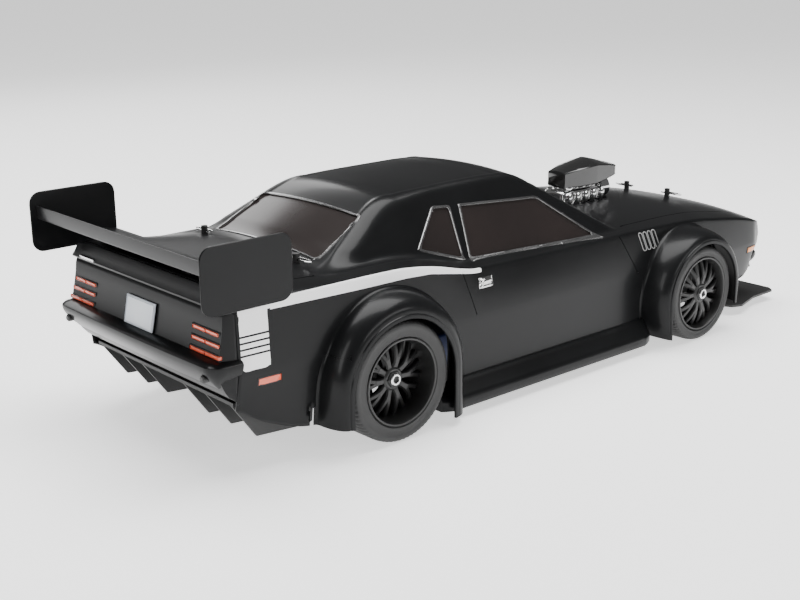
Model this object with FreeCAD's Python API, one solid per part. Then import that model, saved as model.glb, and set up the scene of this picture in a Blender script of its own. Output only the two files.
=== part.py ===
"""Large-scale on-road electric car with a wide-body muscle-car shell.

Millimetres. +X points forward, +Y to the car's left, +Z up. The origin is on the ground,
midway between the axles. One STEP file is written for each named piece.
"""
import FreeCAD, Part
import math
import os

V = FreeCAD.Vector
X_AXIS = V(1, 0, 0)
Y_AXIS = V(0, 1, 0)
Z_AXIS = V(0, 0, 1)

# Driving dimensions
WHEELBASE = 410.0
HALF_LENGTH = 392.0
FRONT_X = WHEELBASE / 2
REAR_X = -WHEELBASE / 2
REAR_TYRE_R = 53.5
REAR_TYRE_Y = (92.0, 145.0)
FRONT_TYRE_R = 50.0
FRONT_TYRE_Y = (107.0, 149.0)
RIM_R = 36.5
RIM_LIP_R = 38.2
RIM_WALL = 3.0
RIM_LIP_WIDTH = 2.0
SPOKES = 10

# Suspension: equal parallel arms, so that the hub stays upright
PIVOT_IN_Y = 29.0
PIVOT_OUT_Y = 85.0
LOWER_Z = 26.0
UPPER_Z = 70.0
PIN_R = 1.5
BORE_R = 1.55
EYE_R = 4.0
SHOCK_X = 22.0
SHOCK_LOW = (66.0, 37.0)
SHOCK_HIGH = (42.0, 103.0)
TOWER_X = (8.0, 12.0)

# Steering
KINGPIN_Y = 104.0
STEER_ARM = (-25.0, 5.0)
STEER_X = 150.0
ROD_Z = 48.0

# Hubs and drive
AXLE_R = 4.0
AXLE_BORE_R = 4.05
CUP_R = 7.4
CUP_BORE_R = 5.8
CUP_DEPTH = 6.4
CUP_SLOT = 6.2
DOGBONE_R = 2.0
DOGBONE_BALL_R = 3.5
DRIVE_IN_Y = 24.0
REAR_JOINT_Y = 72.0
SHAFT_Z = 36.0
GEAR_MODULE = 1.0
SPUR_TEETH = 40
PINION_TEETH = 16
MESH_ANGLE = 25.0
GEAR_X = -64.0
GEAR_WIDTH = 8.0
BACKLASH = 0.25

# Chassis
PLATE_Z = (12.0, 15.0)
GEARBOX_HALF = 23.0

# Shell
SHELL_WALL = 1.6
ARCH_CUT_R = 67.0
REAR_POST = (-256.0, 69.0)
FRONT_POST = (296.0, 29.0)
CLIP_Z = {"rear": 155.0, "front": 125.0}
CLIP_R = 0.75
POST_R = 3.0

# Stations of the shell's lower part: x, centre z, shoulder y and z, widest y and z, hem y and z
STATIONS = [
    (-366, 151, 104, 139, 114, 95, 112, 60),
    (-327, 152, 108, 141, 118, 95, 116, 42),
    (-267, 152, 113, 142, 123, 92, 121, 30),
    (-222, 152, 116, 144, 125, 90, 122, 22),
    (-167, 152, 117, 144, 126, 88, 122, 14),
    (-112, 150, 113, 134, 126, 86, 130, 9),
    (-67, 140, 108, 126, 125, 85, 134, 8),
    (93, 134, 107, 122, 123, 81, 134, 8),
    (160, 132, 109, 122, 122, 80, 128, 10),
    (233, 127, 110, 119, 121, 77, 120, 24),
    (293, 119, 110, 110, 118, 74, 114, 32),
    (333, 110, 108, 100, 113, 72, 106, 36),
    (352, 98, 98, 92, 104, 72, 98, 46),
    (359, 82, 92, 80, 96, 70, 92, 52),
]
CABIN_BASE = [(-258, 84), (-215, 96), (-150, 110), (95, 106), (128, 70)]
CABIN_BASE_Z = 122.0
CABIN_ROOF = [(-176, 60), (-160, 66), (-120, 68), (8, 68), (20, 58)]
CABIN_ROOF_Z = 192.0
CROWN_Z = 195.5
BLOWER_X = (132.0, 205.0)


def box(x0, x1, y0, y1, z0, z1):
    """Block between two corners, in any order."""
    low = V(min(x0, x1), min(y0, y1), min(z0, z1))
    return Part.makeBox(abs(x1 - x0), abs(y1 - y0), abs(z1 - z0), low)


def rod(radius, start, end):
    """Round bar between two points."""
    start = V(*start)
    run = V(*end) - start
    return Part.makeCylinder(radius, run.Length, start, run)


def ring(outer, inner, start, end):
    """Round tube between two points."""
    return rod(outer, start, end).cut(rod(inner, start, end))


def plate(points, axis, low, high):
    """Polygon in the plane across the named axis, extruded from low to high."""
    place = {
        "x": lambda a, b: V(low, a, b),
        "y": lambda a, b: V(a, low, b),
        "z": lambda a, b: V(a, b, low),
    }[axis]
    direction = {"x": X_AXIS, "y": Y_AXIS, "z": Z_AXIS}[axis]
    corners = [place(a, b) for a, b in points]
    face = Part.Face(Part.makePolygon(corners + corners[:1]))
    return face.extrude(direction * (high - low))


def turned(profile, x, z, start=0.0, sweep=360.0):
    """Polygon of (radius, y) turned about the Y line at x, z, from start up by sweep degrees."""
    corners = [V(x + r, y, z) for r, y in profile]
    face = Part.Face(Part.makePolygon(corners + corners[:1]))
    face.rotate(V(x, 0, z), Y_AXIS, -start)
    return face.revolve(V(x, 0, z), Y_AXIS, -sweep)


def join(first, *others):
    """Union of the solids with their shared faces merged."""
    return first.multiFuse(list(others)).removeSplitter()


def mirrored(shape):
    """The same shape on the other side of the car."""
    return shape.mirror(V(0, 0, 0), Y_AXIS)


def save(node, *shapes):
    """Write the solids of one piece to its STEP file."""
    solids = [solid for shape in shapes for solid in shape.Solids]
    for solid in solids:
        if not solid.isValid() or solid.Volume < 1:
            raise ValueError("bad solid in " + node)
    whole = solids[0] if len(solids) == 1 else Part.makeCompound(solids)
    whole.exportStep("parts/" + node + ".step")


def tyre(axle_x, radius, span):
    """Tyre with rounded shoulders, seated over the rim's two lips."""
    inner, outer = span
    bead = RIM_LIP_WIDTH
    profile = [
        (RIM_LIP_R, inner),
        (radius - 7, inner),
        (radius - 2, inner + 2),
        (radius, inner + 6),
        (radius, outer - 6),
        (radius - 2, outer - 2),
        (radius - 7, outer),
        (RIM_LIP_R, outer),
        (RIM_LIP_R, outer - bead),
        (RIM_R, outer - bead),
        (RIM_R, inner + bead),
        (RIM_LIP_R, inner + bead),
    ]
    return turned(profile, axle_x, radius)


def rim(axle_x, radius, span, hub_y, cup_y):
    """Rim with spokes, and the hex, stub axle, drive cup and nut as a second solid."""
    inner, outer = span
    face = RIM_R - RIM_WALL
    profile = [
        (face, inner),
        (RIM_LIP_R, inner),
        (RIM_LIP_R, inner + RIM_LIP_WIDTH),
        (RIM_R, inner + RIM_LIP_WIDTH),
        (RIM_R, outer - RIM_LIP_WIDTH),
        (RIM_LIP_R, outer - RIM_LIP_WIDTH),
        (RIM_LIP_R, outer),
        (face, outer),
    ]
    barrel = turned(profile, axle_x, radius)
    centre = V(axle_x, 0, radius)
    spokes = []
    for index in range(SPOKES):
        spoke = box(axle_x + 8, axle_x + face + 1, hub_y - 6, hub_y - 2, radius - 2, radius + 2)
        spoke.rotate(centre, Y_AXIS, index * 360 / SPOKES)
        spokes.append(spoke)
    hub = rod(11, (axle_x, hub_y - 7, radius), (axle_x, hub_y, radius))
    hole = rod(AXLE_R, (axle_x, hub_y - 8, radius), (axle_x, hub_y + 1, radius))
    wheel = join(barrel, hub, *spokes).cut(hole)
    return [wheel, stub_axle(axle_x, radius, hub_y, cup_y)]


def stub_axle(axle_x, radius, hub_y, cup_y):
    """Drive cup, axle, hex and hub nut in one turned piece, cup_y being its joint centre."""
    axle = rod(AXLE_R, (axle_x, cup_y + CUP_DEPTH + 0.5, radius), (axle_x, hub_y + 4, radius))
    hex_drive = rod(8, (axle_x, hub_y - 19, radius), (axle_x, hub_y - 7, radius))
    nut = rod(7.5, (axle_x, hub_y, radius), (axle_x, hub_y + 4, radius))
    cup = rod(CUP_R, (axle_x, cup_y - 5, radius), (axle_x, cup_y + CUP_DEPTH + 1.6, radius))
    bore = rod(CUP_BORE_R, (axle_x, cup_y - 6, radius), (axle_x, cup_y + CUP_DEPTH, radius))
    half_slot = CUP_SLOT / 2
    slot = box(axle_x - 9, axle_x + 9, cup_y - 6, cup_y + CUP_DEPTH, radius - half_slot, radius + half_slot)
    return join(cup.cut(bore).cut(slot), axle, hex_drive, nut)


def drive_shaft(axle_x, radius, cup_y):
    """Dogbone shaft with a ball at each end and a cross pin in the wheel's drive cup."""
    bar = rod(DOGBONE_R, (axle_x, DRIVE_IN_Y, radius), (axle_x, cup_y, radius))
    inner = Part.makeSphere(DOGBONE_BALL_R, V(axle_x, DRIVE_IN_Y, radius))
    outer = Part.makeSphere(DOGBONE_BALL_R, V(axle_x, cup_y, radius))
    pin = rod(0.9, (axle_x - 6.4, cup_y, radius), (axle_x + 6.4, cup_y, radius))
    return join(bar, inner, outer, pin)


def lower_arm(axle_x):
    """Lower wishbone: inner barrel, forked outer end and an ear with the shock's pin."""
    corners = [(-18, 29), (18, 29), (18, 60), (18, 72), (13, 85), (-13, 85), (-18, 60)]
    web = plate([(axle_x + x, y) for x, y in corners], "z", 24, 28)
    web = web.cut(box(axle_x - 9.4, axle_x + 9.4, 78, 100, 20, 34))
    web = web.cut(box(axle_x - 10, axle_x + 10, 42, 68, 20, 34))
    pieces = []
    for start, end, y in ((-18, 18, PIVOT_IN_Y), (-13, -9.4, PIVOT_OUT_Y), (9.4, 13, PIVOT_OUT_Y)):
        pieces.append(rod(EYE_R, (axle_x + start, y, LOWER_Z), (axle_x + end, y, LOWER_Z)))
    low_y, low_z = SHOCK_LOW
    ear = box(axle_x + 13, axle_x + 18, 60, 72, 24, low_z + 3)
    mount = rod(PIN_R, (axle_x + 13, low_y, low_z), (axle_x + 26, low_y, low_z))
    bore = rod(BORE_R, (axle_x - 19, PIVOT_IN_Y, LOWER_Z), (axle_x + 19, PIVOT_IN_Y, LOWER_Z))
    pin = rod(PIN_R, (axle_x - 13, PIVOT_OUT_Y, LOWER_Z), (axle_x + 13, PIVOT_OUT_Y, LOWER_Z))
    return join(join(web, ear, mount, *pieces).cut(bore), pin)


def upper_arm(axle_x):
    """Upper link with an eye at each end."""
    bar = rod(2.2, (axle_x, PIVOT_IN_Y, UPPER_Z), (axle_x, PIVOT_OUT_Y, UPPER_Z))
    eyes = []
    bores = []
    for y in (PIVOT_IN_Y, PIVOT_OUT_Y):
        eyes.append(rod(3.5, (axle_x - 3, y, UPPER_Z), (axle_x + 3, y, UPPER_Z)))
        bores.append(rod(BORE_R, (axle_x - 4, y, UPPER_Z), (axle_x + 4, y, UPPER_Z)))
    return join(bar, *eyes).cut(bores[0]).cut(bores[1])


def hub_carrier_base(axle_x):
    """Lower lug and upper fork that both kinds of hub carrier share."""
    lug = rod(EYE_R, (axle_x - 9, PIVOT_OUT_Y, LOWER_Z), (axle_x + 9, PIVOT_OUT_Y, LOWER_Z))
    foot = box(axle_x - 9, axle_x + 9, 81.5, 89, 27, 42)
    bore = rod(BORE_R, (axle_x - 10, PIVOT_OUT_Y, LOWER_Z), (axle_x + 10, PIVOT_OUT_Y, LOWER_Z))
    body = join(lug, foot, box(axle_x - 9, axle_x + 9, 81.5, 89, 40, 64)).cut(bore)
    ears = [box(axle_x - 7, axle_x - 3.4, 81, 89, 62, 74), box(axle_x + 3.4, axle_x + 7, 81, 89, 62, 74)]
    pin = rod(PIN_R, (axle_x - 7, PIVOT_OUT_Y, UPPER_Z), (axle_x + 7, PIVOT_OUT_Y, UPPER_Z))
    return join(body, pin, *ears)


def rear_carrier():
    """Rear hub carrier with the bearing barrel for the stub axle."""
    z = REAR_TYRE_R
    barrel = rod(9, (REAR_X, 85, z), (REAR_X, 104, z))
    bore = rod(AXLE_BORE_R, (REAR_X, 80, z), (REAR_X, 105, z))
    return join(hub_carrier_base(REAR_X), barrel).cut(bore)


def caster_block():
    """Front hub carrier: a C-shaped block whose two ears hold the kingpins."""
    z = FRONT_TYRE_R
    web = box(FRONT_X - 9, FRONT_X + 9, 89, 93, 30, 70)
    upper = box(FRONT_X - 6, FRONT_X + 6, 89, 109, 66, 70)
    lower = box(FRONT_X - 6, FRONT_X + 6, 89, 109, 30, 34)
    block = join(hub_carrier_base(FRONT_X), web, upper, lower)
    opening = rod(7.5, (FRONT_X, 80, z), (FRONT_X, 95, z))
    kingpin = rod(BORE_R, (FRONT_X, KINGPIN_Y, 25), (FRONT_X, KINGPIN_Y, 75))
    return block.cut(opening).cut(kingpin)


def steering_knuckle():
    """Front knuckle: kingpins, bearing barrel around the drive cup, and the steering arm."""
    z = FRONT_TYRE_R
    barrel = rod(11, (FRONT_X, 98, z), (FRONT_X, 118, z))
    upper = rod(5, (FRONT_X, KINGPIN_Y, z + 8), (FRONT_X, KINGPIN_Y, 65.7))
    lower = rod(5, (FRONT_X, KINGPIN_Y, 34.3), (FRONT_X, KINGPIN_Y, z - 8))
    pins = [
        rod(PIN_R, (FRONT_X, KINGPIN_Y, 30), (FRONT_X, KINGPIN_Y, 36)),
        rod(PIN_R, (FRONT_X, KINGPIN_Y, 64), (FRONT_X, KINGPIN_Y, 70)),
    ]
    arm_x, arm_y = STEER_ARM
    tip = (FRONT_X + arm_x, KINGPIN_Y + arm_y)
    outline = [(FRONT_X + 3, 100), (FRONT_X + 3, 110), (tip[0] - 3, tip[1] + 3), (tip[0] - 3, tip[1] - 3)]
    arm = plate(outline, "z", 36, 40.5)
    stud = rod(PIN_R, (tip[0], tip[1], 37), (tip[0], tip[1], ROD_Z + 10))
    cavity = rod(8.3, (FRONT_X, 97, z), (FRONT_X, 112.4, z))
    bearing = rod(AXLE_BORE_R, (FRONT_X, 110, z), (FRONT_X, 119, z))
    barrel = barrel.cut(cavity).cut(bearing)
    return join(barrel, upper.cut(cavity), lower.cut(cavity), arm, stud, *pins)


def shock_line(distance):
    """Point at a distance below the shock's top pivot, as y and z."""
    length = math.hypot(SHOCK_HIGH[0] - SHOCK_LOW[0], SHOCK_HIGH[1] - SHOCK_LOW[1])
    part = distance / length
    return (
        SHOCK_HIGH[0] + part * (SHOCK_LOW[0] - SHOCK_HIGH[0]),
        SHOCK_HIGH[1] + part * (SHOCK_LOW[1] - SHOCK_HIGH[1]),
    )


def along_shock(x, radius, start, end):
    """Round bar along the shock between two distances from its top pivot."""
    return rod(radius, (x, *shock_line(start)), (x, *shock_line(end)))


def shock_body(x):
    """Oil cylinder with its top eye and spring collar."""
    top_y, top_z = SHOCK_HIGH
    eye = rod(EYE_R, (x - 3, top_y, top_z), (x + 3, top_y, top_z))
    hole = rod(BORE_R, (x - 4, top_y, top_z), (x + 4, top_y, top_z))
    shell = join(along_shock(x, 6, 3, 38), along_shock(x, 9, 11, 14), eye)
    return shell.cut(hole).cut(along_shock(x, 4.4, 8, 35)).cut(along_shock(x, BORE_R, 34, 40))


def shock_shaft(x):
    """Piston, shaft, lower spring cup and bottom eye."""
    low_y, low_z = SHOCK_LOW
    eye = rod(EYE_R, (x - 2.5, low_y, low_z), (x + 2.5, low_y, low_z))
    hole = rod(2.0, (x - 4, low_y, low_z), (x + 4, low_y, low_z))
    pieces = [along_shock(x, 4.3, 20, 23), along_shock(x, PIN_R, 22, 68), along_shock(x, 8.5, 56, 58.5)]
    return join(eye, *pieces).cut(hole)


def spring(x):
    """Envelope of the coil spring between collar and cup."""
    return along_shock(x, 8.6, 14.1, 55.9).cut(along_shock(x, 6.6, 14, 56))


def gearbox(axle_x, axle_z, shaft_face):
    """Gear case with hinge pins for both arms, the shock tower and the shocks' upper pins."""
    case = box(axle_x - GEARBOX_HALF, axle_x + GEARBOX_HALF, -24, 24, PLATE_Z[1], 66)
    socket = rod(6.5, (axle_x, 16, axle_z), (axle_x, 25, axle_z))
    case = case.cut(socket).cut(mirrored(socket))
    case = case.cut(rod(3.4, (shaft_face - 8, 0, SHAFT_Z), (shaft_face + 8, 0, SHAFT_Z)))
    outline = [(-22, 60), (22, 60), (50, 98), (50, 108), (34, 108), (22, 84)]
    outline += [(-22, 84), (-34, 108), (-50, 108), (-50, 98)]
    tower = plate(outline, "x", axle_x + TOWER_X[0], axle_x + TOWER_X[1])
    pieces = [tower]
    top_y, top_z = SHOCK_HIGH
    for hand in (-1, 1):
        pieces += arm_brackets(axle_x, hand)
        start = (axle_x + TOWER_X[0], hand * top_y, top_z)
        pieces.append(rod(PIN_R, start, (axle_x + 26, hand * top_y, top_z)))
    return join(case, *pieces)


def arm_brackets(axle_x, hand):
    """Hinge pins and their holders on one side of a gear case."""
    y = hand * PIVOT_IN_Y
    edge = GEARBOX_HALF
    pieces = [
        rod(PIN_R, (axle_x - edge, y, LOWER_Z), (axle_x + edge, y, LOWER_Z)),
        rod(PIN_R, (axle_x - 7, y, UPPER_Z), (axle_x + 7, y, UPPER_Z)),
    ]
    for end in (-1, 1):
        pieces.append(box(axle_x + end * 18.4, axle_x + end * edge, hand * 22, hand * 33, 21, 31))
        pieces.append(box(axle_x + end * 3.4, axle_x + end * 7, hand * 20, hand * 33, 60, 74))
    return pieces


def front_gearbox():
    """Front gear case, with the carrier beams under the front body posts."""
    post_x, post_y = FRONT_POST
    beams = []
    for hand in (-1, 1):
        beams.append(box(FRONT_X + 12, post_x + 6, hand * (post_y - 5), hand * (post_y + 5), 88, 92))
    tie = box(post_x - 4, post_x + 4, -post_y, post_y, 88, 92)
    return join(gearbox(FRONT_X, FRONT_TYRE_R, FRONT_X - GEARBOX_HALF), tie, *beams)


def rear_gearbox():
    """Rear gear case, with the carrier bridge under the rear body posts."""
    post_x, post_y = REAR_POST
    bridge = box(post_x - 6, post_x + 6, -post_y - 5, post_y + 5, 108, 112)
    beams = []
    for hand in (-1, 1):
        beams.append(box(post_x, REAR_X + TOWER_X[1], hand * 38, hand * 48, 108, 112))
    return join(gearbox(REAR_X, REAR_TYRE_R, REAR_X + GEARBOX_HALF), bridge, *beams)


def chassis_plate():
    """Flat aluminium chassis plate, narrow between the wheels."""
    half = [(262, 22), (238, 34), (180, 34), (120, 62), (-110, 62), (-160, 34), (-238, 34), (-262, 22)]
    outline = half + [(x, -y) for x, y in reversed(half)]
    return plate(outline, "z", *PLATE_Z)


def front_splitter():
    """Flat splitter with swept winglet tips, on a bracket from the chassis plate."""
    half = [(262, 40), (300, 122), (312, 127), (348, 117), (386, 116), (HALF_LENGTH, 108)]
    outline = half + [(x, -y) for x, y in reversed(half)]
    blade = plate(outline, "z", 9.5, PLATE_Z[0])
    bracket = box(240, 300, -18, 18, PLATE_Z[1], 18)
    riser = box(263, 300, -18, 18, PLATE_Z[0], PLATE_Z[1])
    return join(blade, riser, bracket)


def rear_diffuser():
    """Sloping under-tray with six fins, on a bracket from the chassis plate."""
    slope = [(-268, 42), (-268, 45), (-350, 62), (-350, 59)]
    tray = plate(slope, "y", -107, 107)
    fin_side = [(-268, 44), (-270, 25), (-275, 23), (-326, 26.6), (-350, 60)]
    fins = []
    for y in (33, 66, 102):
        for hand in (-1, 1):
            fins.append(plate(fin_side, "y", hand * y - 1.2, hand * y + 1.2))
    neck = box(-275, -263, -20, 20, PLATE_Z[0], 46)
    bracket = box(-270, -236, -20, 20, PLATE_Z[1], 18)
    return join(tray, neck, bracket, *fins)


def gear(teeth, x, y, z, phase):
    """Spur gear about an X line, with involute flanks drawn through three points each."""
    pitch_r = GEAR_MODULE * teeth / 2
    base_r = pitch_r * math.cos(math.radians(20))
    flat = math.tan(math.radians(20)) - math.radians(20)
    half_tooth = math.pi / (2 * teeth) - BACKLASH / (4 * pitch_r)
    flank = []
    for radius in (pitch_r - 1.25 * GEAR_MODULE, pitch_r, pitch_r + GEAR_MODULE):
        angle = math.acos(min(1.0, base_r / radius))
        flank.append((radius, half_tooth + flat - (math.tan(angle) - angle)))
    points = []
    for index in range(teeth):
        middle = phase + index * 2 * math.pi / teeth
        for radius, half in flank:
            points.append((radius, middle - half))
        for radius, half in reversed(flank):
            points.append((radius, middle + half))
    outline = [(y + r * math.cos(a), z + r * math.sin(a)) for r, a in points]
    return plate(outline, "x", x, x + GEAR_WIDTH)


def mesh_centre():
    """The pinion's axis as y and z."""
    distance = GEAR_MODULE * (SPUR_TEETH + PINION_TEETH) / 2
    angle = math.radians(MESH_ANGLE)
    return distance * math.cos(angle), SHAFT_Z + distance * math.sin(angle)


def centre_shaft():
    """Spur gear on the long shaft that joins both gear cases."""
    spur = gear(SPUR_TEETH, GEAR_X, 0, SHAFT_Z, math.radians(MESH_ANGLE))
    ends = (REAR_X + GEARBOX_HALF - 7, FRONT_X - GEARBOX_HALF + 7)
    shaft = rod(3, (ends[0], 0, SHAFT_Z), (ends[1], 0, SHAFT_Z))
    hub = rod(9, (GEAR_X + GEAR_WIDTH - 1, 0, SHAFT_Z), (GEAR_X + 16, 0, SHAFT_Z))
    return join(spur, shaft, hub)


def motor_pinion():
    """Motor shaft with its pinion; a gap between teeth faces the spur gear."""
    y, z = mesh_centre()
    phase = math.radians(MESH_ANGLE + 180) + math.pi / PINION_TEETH
    pinion = gear(PINION_TEETH, GEAR_X, y, z, phase)
    return join(pinion, rod(2.5, (GEAR_X - 14, y, z), (GEAR_X + GEAR_WIDTH, y, z)))


def motor():
    """Motor can with end bell, bored for its shaft, on its mounting block."""
    y, z = mesh_centre()
    can = rod(18, (GEAR_X - 74, y, z), (GEAR_X - 6, y, z))
    groove = ring(19, 17, (GEAR_X - 62, y, z), (GEAR_X - 60, y, z))
    bore = rod(2.55, (GEAR_X - 15, y, z), (GEAR_X - 5, y, z))
    block = box(GEAR_X - 70, GEAR_X - 10, y - 12, y + 12, PLATE_Z[1], z - 12)
    return join(can.cut(groove), block).cut(bore)


def centre_bearings():
    """Two pillars that carry the centre shaft beside the spur gear."""
    pillars = []
    for x in (GEAR_X - 12, GEAR_X + 22):
        pillar = box(x - 3, x + 3, -8, 6, PLATE_Z[1], SHAFT_Z + 6)
        pillars.append(pillar.cut(rod(3.05, (x - 4, 0, SHAFT_Z), (x + 4, 0, SHAFT_Z))))
    return pillars


def steering_servo():
    """Steering servo over a small deck, with its output shaft pointing down."""
    body = box(STEER_X - 12, STEER_X + 28, -10, 10, 59, 97)
    output = rod(3, (STEER_X, 0, 50.5), (STEER_X, 0, 60))
    deck = box(102, FRONT_X - GEARBOX_HALF - 0.5, -22, 22, 41, 43.5)
    pieces = [output, deck]
    for hand in (-1, 1):
        pieces.append(box(STEER_X + 6, STEER_X + 22, hand * 9, hand * 13, 43, 76))
        pieces.append(box(104, 112, hand * 14, hand * 22, PLATE_Z[1], 42))
        pieces.append(box(168, 176, hand * 14, hand * 22, PLATE_Z[1], 42))
    return join(body, *pieces)


def steering_arm():
    """Servo arm with the two pins for the track rods."""
    arm_x, arm_y = STEER_ARM
    hub = rod(6, (STEER_X, 0, 51), (STEER_X, 0, 58))
    tip_x = STEER_X + arm_x
    outline = [(STEER_X, 5), (STEER_X, -5), (tip_x - 3, -arm_y - 3), (tip_x - 3, arm_y + 3)]
    pins = []
    for hand in (-1, 1):
        pins.append(rod(PIN_R, (tip_x, hand * arm_y, 45.5), (tip_x, hand * arm_y, 52)))
    bore = rod(3.05, (STEER_X, 0, 50), (STEER_X, 0, 59))
    return join(hub, plate(outline, "z", 51, 54), *pins).cut(bore)


def track_rod():
    """Left track rod between the servo arm's pin and the knuckle's stud."""
    arm_x, arm_y = STEER_ARM
    inner = (STEER_X + arm_x, arm_y, ROD_Z)
    outer = (FRONT_X + arm_x, KINGPIN_Y + arm_y, ROD_Z)
    eyes = []
    for point in (inner, outer):
        eyes.append(rod(3.5, (point[0], point[1], ROD_Z - 2), (point[0], point[1], ROD_Z + 2)))
    bar = join(rod(2, inner, outer), *eyes)
    pin_bore = rod(BORE_R, (inner[0], inner[1], 44), (inner[0], inner[1], 52))
    stud_bore = rod(2.1, (outer[0], outer[1], 44), (outer[0], outer[1], 52))
    return bar.cut(pin_bore).cut(stud_bore)


def battery():
    """Battery pack with rounded edges beside the centre shaft."""
    pack = box(-112, 30, -62, -23, PLATE_Z[1], 50)
    return pack.makeFillet(4, [edge for edge in pack.Edges if abs(edge.Length - 142) < 1])


def speed_controller():
    """Speed controller case with cooling ribs."""
    case = box(-34, 40, 20, 58, PLATE_Z[1], 40)
    ribs = [box(-28, 34, y - 1, y + 1, 39, 48) for y in range(24, 58, 6)]
    return join(case, *ribs)


def faceted(outlines):
    """Closed solid through closed outlines of equal point count, with flat triangular sides."""
    faces = [Part.Face(Part.makePolygon(outline + outline[:1])) for outline in (outlines[0], outlines[-1])]
    for low, high in zip(outlines, outlines[1:]):
        for index in range(len(low)):
            after = (index + 1) % len(low)
            for corners in (
                [low[index], low[after], high[index]],
                [low[after], high[after], high[index]],
            ):
                faces.append(Part.Face(Part.makePolygon(corners + corners[:1])))
    solid = Part.makeSolid(Part.makeShell(faces))
    if solid.Volume < 0:
        solid.reverse()
    return solid


def shell_section(station, wall):
    """Closed outline of the lower shell at one station, drawn in by the wall thickness."""
    x, centre_z, shoulder_y, shoulder_z, wide_y, wide_z, hem_y, hem_z = station
    drop = 30 if wall else 0
    half = [
        (shoulder_y * 0.55 - wall, shoulder_z + 0.62 * (centre_z - shoulder_z) - wall),
        (shoulder_y - wall, shoulder_z - wall),
        (wide_y - wall, wide_z),
        (hem_y - wall, hem_z),
        (hem_y - wall, hem_z - drop - 0.1),
    ]
    points = [(0, centre_z - wall)] + half
    points += [(-y, z) for y, z in reversed(half)]
    return [V(x, y, z) for y, z in points]


def lower_shell(wall):
    """Lower shell as a solid; with a wall it is the hollow to take out of it."""
    stations = [list(station) for station in STATIONS]
    if wall:
        stations[0][0] += wall
        stations[-1][0] -= wall
    return faceted([shell_section(station, wall) for station in stations])


def ring_outline(half, inset, z):
    """Closed plan outline at a height from the left half's points."""
    middle = sum(x for x, y in half) / len(half)
    left = [(x - math.copysign(inset, x - middle), y - inset) for x, y in half]
    points = left + [(x, -y) for x, y in reversed(left)]
    return [V(x, y, z) for x, y in points]


def cabin(wall):
    """Greenhouse from inside the lower shell up to the crowned roof, or its hollow."""
    base = ring_outline(CABIN_BASE, wall, CABIN_BASE_Z)
    top = ring_outline(CABIN_ROOF, wall, CABIN_ROOF_Z - wall)
    crown_half = [(x * 0.8 - 14, y * 0.5) for x, y in CABIN_ROOF]
    return faceted([base, top, ring_outline(crown_half, wall, CROWN_Z - wall)])


def flare(axle_x, radius, lip_y, root_r, front_foot, rear_foot):
    """Bolt-on arch flare: a crisp lip over the tyre that runs back into the body, on two upright legs."""
    root_y = 121
    profile = [
        (57, lip_y - 2.6),
        (57, lip_y),
        (62, lip_y),
        (root_r + 3, root_y),
        (root_r, root_y),
        (60, lip_y - 2.6),
    ]
    legs = []
    for end, foot_z in ((1, front_foot), (-1, rear_foot)):
        outline = [(axle_x + end * r, y) for r, y in profile]
        legs.append(plate(outline, "z", foot_z, radius))
    return join(turned(profile, axle_x, radius, 0, 180), *legs)


def body_shell():
    """Thin moulded shell with the greenhouse, four arches with flares, skirts and post holes."""
    outer = lower_shell(0).fuse(cabin(0))
    hollow = lower_shell(SHELL_WALL).fuse(cabin(SHELL_WALL))
    shell = outer.cut(hollow)
    arches = []
    flares = []
    for hand in (-1, 1):
        for axle_x, z in ((FRONT_X, FRONT_TYRE_R), (REAR_X, REAR_TYRE_R)):
            arches.append(rod(ARCH_CUT_R, (axle_x, hand * 84, z), (axle_x, hand * 140, z)))
            arches.append(box(axle_x - ARCH_CUT_R, axle_x + ARCH_CUT_R, hand * 84, hand * 140, -5, z))
    for flare_left in (
        flare(REAR_X, REAR_TYRE_R, 151, 76, 8.5, 28),
        flare(FRONT_X, FRONT_TYRE_R, 154, 70, 30, 12),
    ):
        flares += [flare_left, mirrored(flare_left)]
    skirt = plate([(122, 20), (127, 32), (141, 14), (141, 7), (127, 7)], "x", -142, 138)
    holes = []
    for post_x, post_y in (FRONT_POST, REAR_POST):
        for hand in (-1, 1):
            holes.append(rod(POST_R + 0.6, (post_x, hand * post_y, 95), (post_x, hand * post_y, 170)))
    holes.append(box(BLOWER_X[0] - 0.3, BLOWER_X[1] + 0.3, -17.3, 17.3, 100, 140))
    for strut in wing_struts(0.2):
        holes.append(strut)
    shell = shell.cut(Part.makeCompound(arches))
    return join(shell, skirt, mirrored(skirt), *flares).cut(Part.makeCompound(holes))


def wing_struts(gap):
    """The two struts under the wing blade, grown by a gap for the holes they stand in."""
    side_view = [(-352 - gap, 146), (-352 - gap, 164), (-340 + gap, 161), (-340 + gap, 146)]
    struts = []
    for y in (-55, 55):
        struts.append(plate(side_view, "y", y - 2 - gap, y + 2 + gap))
    return struts


def rear_wing():
    """Wing blade with an upright rear lip between two end plates, on two struts from the boot lid."""
    upper = [(-385.6, 187.4), (-383.6, 187.4), (-383, 178), (-372, 172.6), (-350, 164.8), (-330, 159.2)]
    lower = [(-330, 157.2), (-350, 162.6), (-372, 170.2), (-385.6, 175.6)]
    profile = upper + [(-309, 155.6), (-309, 154)] + lower
    blade = plate(profile, "y", -134, 134)
    plates = []
    for hand in (-1, 1):
        end_plate = box(-HALF_LENGTH, -308, hand * 134, hand * 136, 145.5, 200)
        upright = [edge for edge in end_plate.Edges if abs(edge.Length - 2) < 0.01]
        plates.append(end_plate.makeFillet(11, upright))
    return join(blade, *plates, *wing_struts(0))


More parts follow.
